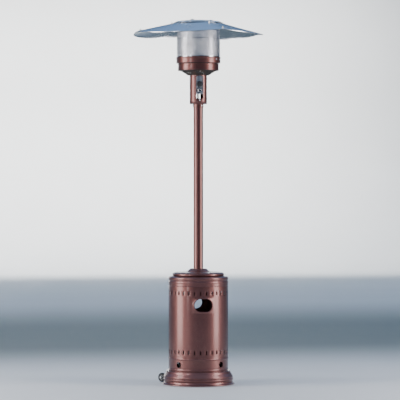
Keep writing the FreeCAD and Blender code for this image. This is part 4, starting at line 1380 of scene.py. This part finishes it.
@dataclass
class BurnerHead:
    """Perforated bowl, two bronze bands, burner and perforated emitter screen."""

    body: str = "stand"
    bowl_around: int = 48
    bowl_rows: int = 3
    bowl_bore: float = CONTROL_RADIUS + 0.2 * MM
    bowl_foot: float = CONTROL_RADIUS + 11 * MM
    bowl_rim: float = 112 * MM
    screen_around: int = 132
    screen_rows: int = 27
    screen_hole: float = 1.3 * MM

    def build(self) -> None:
        """Make the shrouds and the screen."""
        self.build_bowl()
        self.build_bands()
        self.build_screen()
        dress(Look.SCORCHED, "burner_head", "burner_deck")

    def build_bowl(self) -> None:
        """A conical bowl with staggered rings of small slots that grow towards its rim."""
        low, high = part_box("burner_bowl")
        rim_level, start, end = high.z - STEEL, 0.14, 0.9

        def spot(share: float) -> Point:
            """A point on the cone, by its share of the way from foot to rim."""
            radius = self.bowl_foot + (self.bowl_rim - self.bowl_foot) * share
            return (radius, low.z + (rim_level - low.z) * share)

        below = rounded([(self.bowl_bore, low.z, 0), (self.bowl_foot, low.z, 4 * MM), (*spot(start), 0)])
        above = rounded([(*spot(end), 0), (self.bowl_rim, rim_level, 4 * MM), (high.x, rim_level, 0)])
        columns = self.bowl_around * 4
        bm = bmesh.new()
        for skin in (below, above):
            Wall(skin, columns).quads(bm, range(columns), range(len(skin) - 1))
        cone = Wall([spot(s) for s in span(start, end, self.bowl_rows * 4)], columns)
        size = 3.1 * MM
        pieces = [finish_mesh("cone_ends", bm, Look.SCORCHED)]
        for row in range(self.bowl_rows):
            cell = bmesh.new()
            first = 2 * (row % 2)
            slot = Hole(size * (0.8 + 0.12 * row), size * (0.5 + 0.08 * row), size * 0.5, [(0, 0)])
            cone.patch(cell, range(first, first + 4), range(4 * row, 4 * row + 4), slot)
            cell = finish_mesh("bowl_cell", cell, Look.SCORCHED)
            pieces.append(ring_of_cells(cell, self.bowl_around, 1, 0.0, 0.0, Look.SCORCHED))
        bowl = thicken(join("perforated_bowl", pieces, Look.SCORCHED, merge=WELD), STEEL)
        register(bowl, self.body, Look.SCORCHED, "burner_bowl")

    def build_bands(self) -> None:
        """Press the lower and upper bronze bands."""
        low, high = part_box("lower_band")
        r = BAND_RADIUS - 10 * MM
        waist = r - 0.7 * MM
        lower = sheet([(r, low.z, 0), (r, low.z + 3 * MM, 1.0 * MM), (waist, low.z + 5 * MM, 2 * MM),
                       (waist, high.z - 6 * MM, 2 * MM), (r, high.z - 4 * MM, 1 * MM), (r, high.z, 1.9 * MM),
                       (self.bowl_rim, high.z, 0)])
        turned("lower_shroud", lower, Look.BRONZE_BAND, self.body, "lower_band", 192)
        low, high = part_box("upper_band")
        r, lip = BAND_RADIUS, BAND_RADIUS + 1.8 * MM
        upper = sheet([(118 * MM, low.z, 0), (r, low.z, 3 * MM), (r, high.z - 9 * MM, 2.5 * MM),
                       (lip, high.z - 6 * MM, 2 * MM), (lip, high.z, 2 * MM),
                       (SCREEN_RADIUS + 1 * MM, high.z, 0)])
        turned("upper_shroud", upper, Look.BRONZE_BAND, self.body, "upper_band", 192)

    def build_screen(self) -> None:
        """Punch the emitter screen, roll its hoop and spin its top plate."""
        low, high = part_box("emitter_screen")
        start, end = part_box("upper_band")[1].z + 5 * MM, high.z - 13 * MM
        pitch = (end - start) / self.screen_rows
        bm = bmesh.new()
        columns = self.screen_around * 2
        wall = Wall([(SCREEN_RADIUS, start + pitch * share) for share in (0.0, 0.5, 1.0)], columns)
        hole = Hole(self.screen_hole, self.screen_hole, self.screen_hole, [(0, 0)])
        wall.patch(bm, range(-1, 1), range(0, 2), hole)
        cell = finish_mesh("screen_cell", bm, Look.SCREEN)
        punched = ring_of_cells(cell, self.screen_around, self.screen_rows, pitch, 0.5, Look.SCREEN)
        bm = bmesh.new()
        for bottom, top in ((low.z, start), (end, high.z)):
            Wall([(SCREEN_RADIUS, bottom), (SCREEN_RADIUS, top)], columns).quads(bm, range(columns), range(1))
        solid = finish_mesh("screen_ends", bm, Look.SCREEN)
        screen = thicken(join("emitter_mesh", [punched, solid], Look.SCREEN, merge=WELD), ALUMINIUM)
        register(screen, self.body, Look.SCREEN, "emitter_screen")
        seam = start + (end - start) * 0.68
        inner, outer = SCREEN_RADIUS - 0.1 * MM, SCREEN_RADIUS + 0.7 * MM
        hoop = rounded([(inner, seam - 3 * MM, 0), (outer, seam - 2 * MM, 0.8 * MM),
                        (outer, seam + 2 * MM, 0.8 * MM), (inner, seam + 3 * MM, 0)], 3)
        turned("screen_hoop", hoop, Look.SCREEN, self.body)
        low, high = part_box("emitter_top_plate")
        skirt = SCREEN_RADIUS + 1.5 * MM
        plate = sheet([(skirt, low.z, 0), (skirt, high.z, 1.3 * MM), (0, high.z, 0)])
        turned("emitter_cover", plate, Look.PLATE, self.body, "emitter_top_plate")


@dataclass
class Reflector:
    """Four lapped panels, a spun centre cap and the fixings that hold them."""

    body: str = "stand"
    rim: float = 405 * MM
    inner: float = 112 * MM
    slope: float = 0.265
    seam_angle: float = 12.5
    seam_rise: float = 15 * MM
    lap: float = 22 * MM
    lift: float = 43.3 * MM
    lap_step: float = 1.1 * MM
    hem: float = 4.6 * MM
    hem_bend: float = 2.2 * MM
    bolt_radii: Point = (178 * MM, 386 * MM)
    stud_circle: float = 80 * MM
    stud_angles: Corner = (-38.0, 82.0, 202.0)

    def __post_init__(self) -> None:
        """Work out the levels and the lap's angle."""
        self.inner_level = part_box("emitter_top_plate")[1].z + self.lift
        self.rim_level = self.inner_level - self.slope * (self.rim - self.inner) - self.seam_rise / 3
        self.half_lap = math.degrees(self.lap / 2 / self.rim)
        self.flat_start = 45.0 - self.half_lap

    def level(self, radius: float, angle: float, lap: float) -> float:
        """The upper skin's level on a panel.

        Args:
            radius: Distance from the centre line.
            angle: Degrees from the panel's middle.
            lap: -1 where the panel lies under its neighbour, 1 where it lies over, 0 between.

        Returns:
            The level.
        """
        share = (radius - self.inner) / (self.rim - self.inner)
        crest = 1 - math.cos(math.radians(min(abs(angle), self.flat_start)))
        crest /= 1 - math.cos(math.radians(self.flat_start))
        edge = self.rim_level + self.seam_rise * crest
        return self.inner_level + (edge - self.inner_level) * share + lap * self.lap_step / 2

    def build(self) -> None:
        """Make the panels, cap, bolts and nuts."""
        for k in range(4):
            piece = self.panel("dish_panel_%d" % (k + 1), self.seam_angle + 45 + 90 * k)
            register(piece, self.body, Look.SHEET, "reflector_panel_%d" % (k + 1))
        low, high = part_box("reflector_cap")
        edge, top = low.z + ALUMINIUM * 0.9, high.z
        step = edge + (top - edge) * 0.62
        cap = sheet([(157 * MM, edge, 0), (137 * MM, step, 4 * MM), (90 * MM, top, 12 * MM), (0, top, 0)],
                    ALUMINIUM, 6)
        turned("dish_cap", cap, Look.SHEET, self.body, "reflector_cap", 192)
        dress(Look.PLATE, "reflector_support_plate")
        dress(Look.ZINC, "reflector_studs", "reflector_spacers")
        self.build_fixings()

    def panel(self, name: str, middle: float) -> Piece:
        """One panel: a grid over its upper skin, its rim turned down into a small hem, then its thickness.

        Args:
            name: The piece's name.
            middle: The panel's middle, in degrees from the front.

        Returns:
            The panel.
        """
        bend = self.hem_bend
        rows = [(r, 0.0) for r in span(self.inner, self.rim - bend - 0.02 * MM, 22)]
        rows += [(self.rim - bend + bend * math.sin(a), bend - bend * math.cos(a))
                 for a in span(0.0, math.pi / 2, 6)[1:]]
        rows.append((self.rim, self.hem))
        flat, edge = self.flat_start, 45 + self.half_lap
        angles = span(-edge, -flat, 2) + span(-flat, flat, 56)[1:] + span(flat, edge, 2)[1:]
        bm = bmesh.new()
        grid = []
        for r, drop in rows:
            levels = [self.level(r, a, max(-1.0, min(1.0, a / flat))) - drop for a in angles]
            grid.append([bm.verts.new(seat(r, middle + a, z)) for a, z in zip(angles, levels)])
        weave(bm, grid)
        piece = smooth_piece(name, bm, material(Look.SHEET))
        if piece.data.polygons[0].normal.z < 0:
            piece.data.flip_normals()
        piece = thicken(piece, ALUMINIUM)
        piece.data.set_sharp_from_angle(angle=math.radians(40))
        return piece

    def bolt_seats(self) -> list[Seat]:
        """Where the seam bolts stand, and which way.

        Returns:
            Each seat's point, direction, and turn in degrees about it.
        """
        drop, run = self.inner_level - self.rim_level - self.seam_rise, self.rim - self.inner
        out, up = drop / math.hypot(drop, run), run / math.hypot(drop, run)
        seats = []
        for k in range(4):
            angle = self.seam_angle + 90 * k
            way = outward(angle) * out + Vector((0, 0, up))
            for n, radius in enumerate(self.bolt_radii):
                seats.append((seat(radius, angle, self.level(radius, 45, 0)), way, 17.0 * k + 23.0 * n))
        return seats

    def build_fixings(self) -> None:
        """Set the seam bolts and nuts and the cap's wing nuts."""
        seats = self.bolt_seats()
        below, above = 1.6 * MM, 0.7 * MM
        head, shank, end = 5.1 * MM, 2.9 * MM, above + 12 * MM
        bolt = rounded([(0, -below - 3.2 * MM, 0), (3.4 * MM, -below - 3.1 * MM, 1.2 * MM),
                        (head, -below - 1.4 * MM, 1.2 * MM), (head, -below, 0.2 * MM), (shank, -below, 0),
                        (shank, end - 0.8 * MM, 0), (2.3 * MM, end - 0.05 * MM, 0),
                        (0, end - 0.05 * MM, 0)], 3)
        master = lathe("bolt_master", bolt, Look.ZINC, 20)
        register(fasteners("seam_bolts", master, seats, Look.ZINC), self.body, Look.ZINC, "panel_bolts")
        master = hex_nut(9.9 * MM, 3.05 * MM, 5 * MM, above)
        register(fasteners("seam_nuts", master, seats, Look.ZINC), self.body, Look.ZINC, "panel_nuts")
        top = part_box("reflector_cap")[1].z
        seats = [(seat(self.stud_circle, a, top), Vector((0, 0, 1)), a + 35) for a in self.stud_angles]
        register(fasteners("cap_wing_nuts", wing_nut(), seats, Look.ZINC), self.body, Look.ZINC, "wing_nuts")


def hex_nut(flats: float, bore: float, height: float, lift: float) -> Piece:
    """A hexagon nut with chamfered corners.

    Args:
        flats: Width across its flats.
        bore: Radius of its hole.
        height: How tall it is.
        lift: How far above its seat it starts.

    Returns:
        The nut, along +Z.
    """
    bm = bmesh.new()
    corner, top, chamfer = flats / math.sqrt(3), lift + height, 0.5 * MM
    outline = [(bore, lift), (corner * 0.92, lift), (corner, lift + chamfer), (corner, top - chamfer),
               (corner * 0.92, top), (bore, top)]

    def six_sided(angle: float, row: int) -> float:
        """Pull the sides of the two full rows in to flats.

        Args:
            angle: The angle round the nut.
            row: The outline's point.

        Returns:
            The factor on the radius.
        """
        if row in (0, 5):
            return 1.0
        away = (angle + math.pi / 6) % (math.pi / 3) - math.pi / 6
        return math.cos(math.pi / 6) / math.cos(math.pi / 6 - abs(away)) if row in (2, 3) else 0.97

    spin(bm, outline, 24, wave=six_sided)
    return finish_mesh("nut_master", bm, Look.ZINC, 25)


def wing_nut() -> Piece:
    """A pressed wing nut: a tapered hub with two rounded ears.

    Returns:
        The nut, along +Z.
    """
    bm = bmesh.new()
    bore, height, half_thick = 3.1 * MM, 6 * MM, 0.9 * MM
    hub = rounded([(bore, 0, 0), (6.1 * MM, 0, 0.6 * MM), (4.8 * MM, height, 0.8 * MM), (bore, height, 0)], 3)
    spin(bm, hub, 24)
    ear = rounded([(3.6 * MM, 1 * MM, 0), (7 * MM, 1.5 * MM, 3 * MM), (13.9 * MM, 5.8 * MM, 1.6 * MM),
                   (12.6 * MM, 7.3 * MM, 1.2 * MM), (8 * MM, 7 * MM, 2 * MM), (3.8 * MM, 4.6 * MM, 0)], 3)
    for side in (1, -1):
        front = [bm.verts.new((side * x, half_thick, z)) for x, z in ear]
        back = [bm.verts.new((side * x, -half_thick, z)) for x, z in ear]
        bm.faces.new(front)
        bm.faces.new(back[::-1])
        for i in range(len(ear)):
            n = (i + 1) % len(ear)
            bm.faces.new((front[i], back[i], back[n], front[n]))
    return finish_mesh("wing_nut_master", bm, Look.ZINC, 40)


def pan_screw() -> Piece:
    """A domed screw with a cross recess in its head.

    Returns:
        The screw, along +Z.
    """
    bm = bmesh.new()
    head, crown, recess = 4.9 * MM, 2.9 * MM, 1.9 * MM
    outline = rounded([(0, -8 * MM, 0), (2.2 * MM, -7.6 * MM, 0), (2.3 * MM, 0, 0), (head, 0, 0.3 * MM),
                       (head, 1.2 * MM, 0.9 * MM), (3.2 * MM, crown, 1.2 * MM), (2.4 * MM, crown, 0),
                       (0.9 * MM, recess, 0), (0, recess, 0)], 2)

    def cross(angle: float, row: int) -> float:
        """Narrow the recess between the arms of the cross.

        Args:
            angle: The angle round the screw.
            row: The outline's point.

        Returns:
            The factor on the radius.
        """
        return 1.0 if row < len(outline) - 3 else 0.45 + 0.55 * abs(math.cos(2 * angle))

    spin(bm, outline, 24, wave=cross)
    return finish_mesh("screw_master", bm, Look.ZINC, 30)


@dataclass
class HeadScrews:
    """The bright domed screws of the post socket, the control housing and the upper band."""

    body: str = "stand"

    def build(self) -> None:
        """Set all the screws square on their round walls."""
        socket, control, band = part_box("head_socket"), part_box("control_housing"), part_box("upper_band")
        seats = [(SLEEVE_RADIUS, a, socket[0].z + 11 * MM) for a in (30, 150, 270)]
        seats += [(CONTROL_RADIUS, a, control[0].z + 23 * MM) for a in (0, 180)]
        seats += [(BAND_RADIUS, a, band[1].z - 15 * MM) for a in (44, 63, 224, 243)]
        spots = [(seat(r, a, z), outward(a), 31.0 * n) for n, (r, a, z) in enumerate(seats)]
        piece = fasteners("shroud_screws", pan_screw(), spots, Look.ZINC)
        register(piece, self.body, Look.ZINC, "head_screws")


@dataclass
class TransportWheels:
    """Two small wheels on a bracket behind the base."""

    angle: float = -144.0
    line: float = 245 * MM
    spread: float = 75 * MM
    width: float = 20 * MM
    rim: float = 17 * MM
    boss: float = 8 * MM
    bore: float = 4.05 * MM

    def build(self) -> None:
        """Make the hubs and tyres, and dress the bracket and axle."""
        along = outward(self.angle + 90)
        low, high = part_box("tyre_left")
        radius, level = (high.z - low.z) / 2, (low.z + high.z) / 2
        for name, side in (("left", -1), ("right", 1)):
            body = "wheel_" + name
            start = seat(self.line, self.angle, level) + along * side * (self.spread - self.width / 2)
            place = frame_matrix(start, along * side)
            register(self.tyre("wheel_tyre_" + name, radius, place), body, Look.RUBBER, "tyre_" + name)
            register(self.hub("wheel_rim_" + name, place), body, Look.HUB, "wheel_hub_" + name)
        dress(Look.BRONZE, "wheel_bracket")
        dress(Look.ZINC, "wheel_axle")

    def tyre(self, name: str, radius: float, place: Matrix) -> Piece:
        """A solid tyre with round shoulders and two grooves.

        Args:
            name: The piece's name.
            radius: The tyre's radius.
            place: Where its axis lies.

        Returns:
            The tyre.
        """
        width, deep, side = self.width, 1.2 * MM, radius - 3 * MM
        corners = [(self.rim, 0.1 * MM, 0), (side, 0, 2.5 * MM), (radius, 4 * MM, 2.4 * MM)]
        for groove in (7.2 * MM, 12.8 * MM):
            corners += [(radius, groove - 1 * MM, 0.2 * MM), (radius - deep, groove - 0.5 * MM, 0),
                        (radius - deep, groove + 0.5 * MM, 0), (radius, groove + 1 * MM, 0.2 * MM)]
        corners += [(radius, width - 4 * MM, 2.4 * MM), (side, width, 2.5 * MM),
                    (self.rim, width - 0.1 * MM, 0)]
        return lathe(name, rounded(corners), Look.RUBBER, 96, place)

    def hub(self, name: str, place: Matrix) -> Piece:
        """A moulded hub with six ribs between its boss and its rim.

        Args:
            name: The piece's name.
            place: Where its axis lies.

        Returns:
            The hub.
        """
        width, rim, boss, bore = self.width, self.rim, self.boss, self.bore
        near, far, lip = 4 * MM, width - 5 * MM, rim - 1.6 * MM
        outline = rounded([
            (bore, -2.5 * MM, 0), (boss, -2.5 * MM, 0.8 * MM), (boss, near, 1 * MM),
            (rim - 3 * MM, near, 1 * MM), (lip, 1 * MM, 0.4 * MM), (rim, 1 * MM, 0.3 * MM),
            (rim, width - 1 * MM, 0.3 * MM), (lip, width - 1 * MM, 0.4 * MM), (rim - 3 * MM, far, 1 * MM),
            (boss, far, 1 * MM),
            (boss, width + 2 * MM, 0.8 * MM), (bore, width + 2 * MM, 0)], 3)
        bm = bmesh.new()
        spin(bm, outline, 72, place)
        core = finish_mesh("hub_core", bm, Look.HUB)
        rib = bmesh.new()
        start, length, thick, tall = boss - 0.5 * MM, rim - boss - 1 * MM, 2.2 * MM, width - 4 * MM
        for v in bmesh.ops.create_cube(rib, size=1.0)["verts"]:
            v.co = Vector((start + (v.co.x + 0.5) * length, v.co.y * thick, width / 2 + v.co.z * tall))
        bmesh.ops.bevel(rib, geom=list(rib.edges), offset=0.5 * MM, segments=2, affect="EDGES")
        ribs = ring_of_cells(finish_mesh("hub_rib", rib, Look.HUB), 6, 1, 0.0, 0.0, Look.HUB)
        ribs.data.transform(place)
        return join(name, [core, ribs], Look.HUB, merge=1e-7)


class GasLine:
    """Hose and regulator inside the post and housing."""

    def build(self) -> None:
        """Dress the hose, regulator, its nut and its hook."""
        dress(Look.RUBBER, "gas_hose")
        dress(Look.CASTING, "regulator_body")
        dress(Look.PLASTIC, "regulator_nut")
        dress(Look.ZINC, "regulator_hook")


# ---------------------------------------------------------------- stage

@dataclass
class Studio:
    """Pale floor, soft lights and the camera."""

    distance: float = 13.37
    azimuth: float = -10.0
    eye: float = 1.289
    aim: float = 1.1515
    side_shift: float = 0.0106
    lens: float = 192.5

    def build(self) -> None:
        """Set the stage."""
        self.build_floor()
        self.build_lights()
        self.build_camera()

    def build_floor(self) -> None:
        """A floor that curves up into a pale backdrop."""
        bm = bmesh.new()
        rows = rounded([(-18.0, 0, 0), (18.0, 0, 2.6), (18.0, 4.6, 0)], 16)
        lines = [[bm.verts.new((x, y, z)) for x in span(-20, 20, 4)] for y, z in rows]
        weave(bm, lines[::-1])
        floor = smooth_piece("studio_floor", bm, PaleFloor("pale_floor", "").build())
        floor.location.z = -0.0005

    def build_lights(self) -> None:
        """Tall soft lights at both sides, a narrow one in front, a backdrop wash and a dim surround."""
        self.lamp("left_bank", -84, 3.4, 1.5, (1.5, 3.4), 150, (1.0, 0.95, 0.92))
        self.lamp("right_bank", 62, 3.4, 1.5, (1.3, 3.4), 135, (1.0, 0.94, 0.92))
        self.lamp("left_strip", -50, 4.2, 1.7, (0.24, 2.8), 32, (1.0, 0.96, 0.96))
        wash = self.lamp("backdrop_wash", 180, 14.6, 4.8, (12.0, 0.8), 900, EVEN, Vector((0, 18.0, 1.4)))
        wash.spread = math.radians(120)
        world = bpy.data.worlds.new("studio_air")
        world.use_nodes = True
        shop = Shop(world.node_tree)
        way = shop.out("ShaderNodeTexCoord", output="Generated")
        rise = shop.out("ShaderNodeSeparateXYZ", None, {0: way}, "Z")
        stops = [(0.0, grey(0.04)), (0.2, rgb(0.08, 0.1, 0.12)), (0.38, rgb(0.24, 0.45, 0.85)),
                 (0.75, rgb(0.5, 0.7, 1.0))]
        sky = shop.out("ShaderNodeValToRGB", {"stops": stops}, {0: rise})
        background = world.node_tree.nodes["Background"]
        background.inputs["Strength"].default_value = 0.8
        world.node_tree.links.new(sky.socket, background.inputs["Color"])
        bpy.context.scene.world = world

    def lamp(self, name: str, angle: float, reach: float, height: float, size: Point, power: float,
             tint: Scale, goal: Vector = Vector((0, 0, 1.2))) -> bpy.types.AreaLight:
        """Hang one rectangular soft light.

        Args:
            name: The light's name.
            angle: Its angle in degrees from the front.
            reach: Its distance from the centre line.
            height: Its height.
            size: Its width and height.
            power: Its power in watts.
            tint: Its colour.
            goal: The point that it faces.

        Returns:
            The light.
        """
        data = bpy.data.lights.new(name, "AREA")
        data.shape = "RECTANGLE"
        data.size, data.size_y = size
        data.energy = power
        data.color = tint
        lamp = bpy.data.objects.new(name, data)
        bpy.context.scene.collection.objects.link(lamp)
        lamp.location = seat(reach, angle, height)
        lamp.visible_camera = False
        lamp.rotation_euler = (goal - lamp.location).to_track_quat("-Z", "Y").to_euler()
        return data

    def build_camera(self) -> None:
        """Stand the camera where the heater is seen nearly level, from far back."""
        data = bpy.data.cameras.new("view")
        data.lens = self.lens
        data.sensor_width = 36.0
        data.clip_end = 100.0
        camera = bpy.data.objects.new("view", data)
        bpy.context.scene.collection.objects.link(camera)
        camera.location = seat(self.distance, self.azimuth, self.eye)
        across = outward(self.azimuth + 90)
        goal = across * self.side_shift + Vector((0, 0, self.aim)) - camera.location
        camera.rotation_euler = goal.to_track_quat("-Z", "Y").to_euler()
        bpy.context.scene.camera = camera


def main() -> None:
    """Build the studio and the heater, sub-assembly by sub-assembly."""
    logging.basicConfig(level=logging.INFO, format="%(message)s")
    Studio().build()
    for part in (Base(), Housing(), Post(), ControlSection(), BurnerHead(), Reflector(), HeadScrews(),
                 TransportWheels(), GasLine()):
        part.build()
        LOG.info("%s is built", type(part).__name__)


if __name__ == "__main__":
    main()
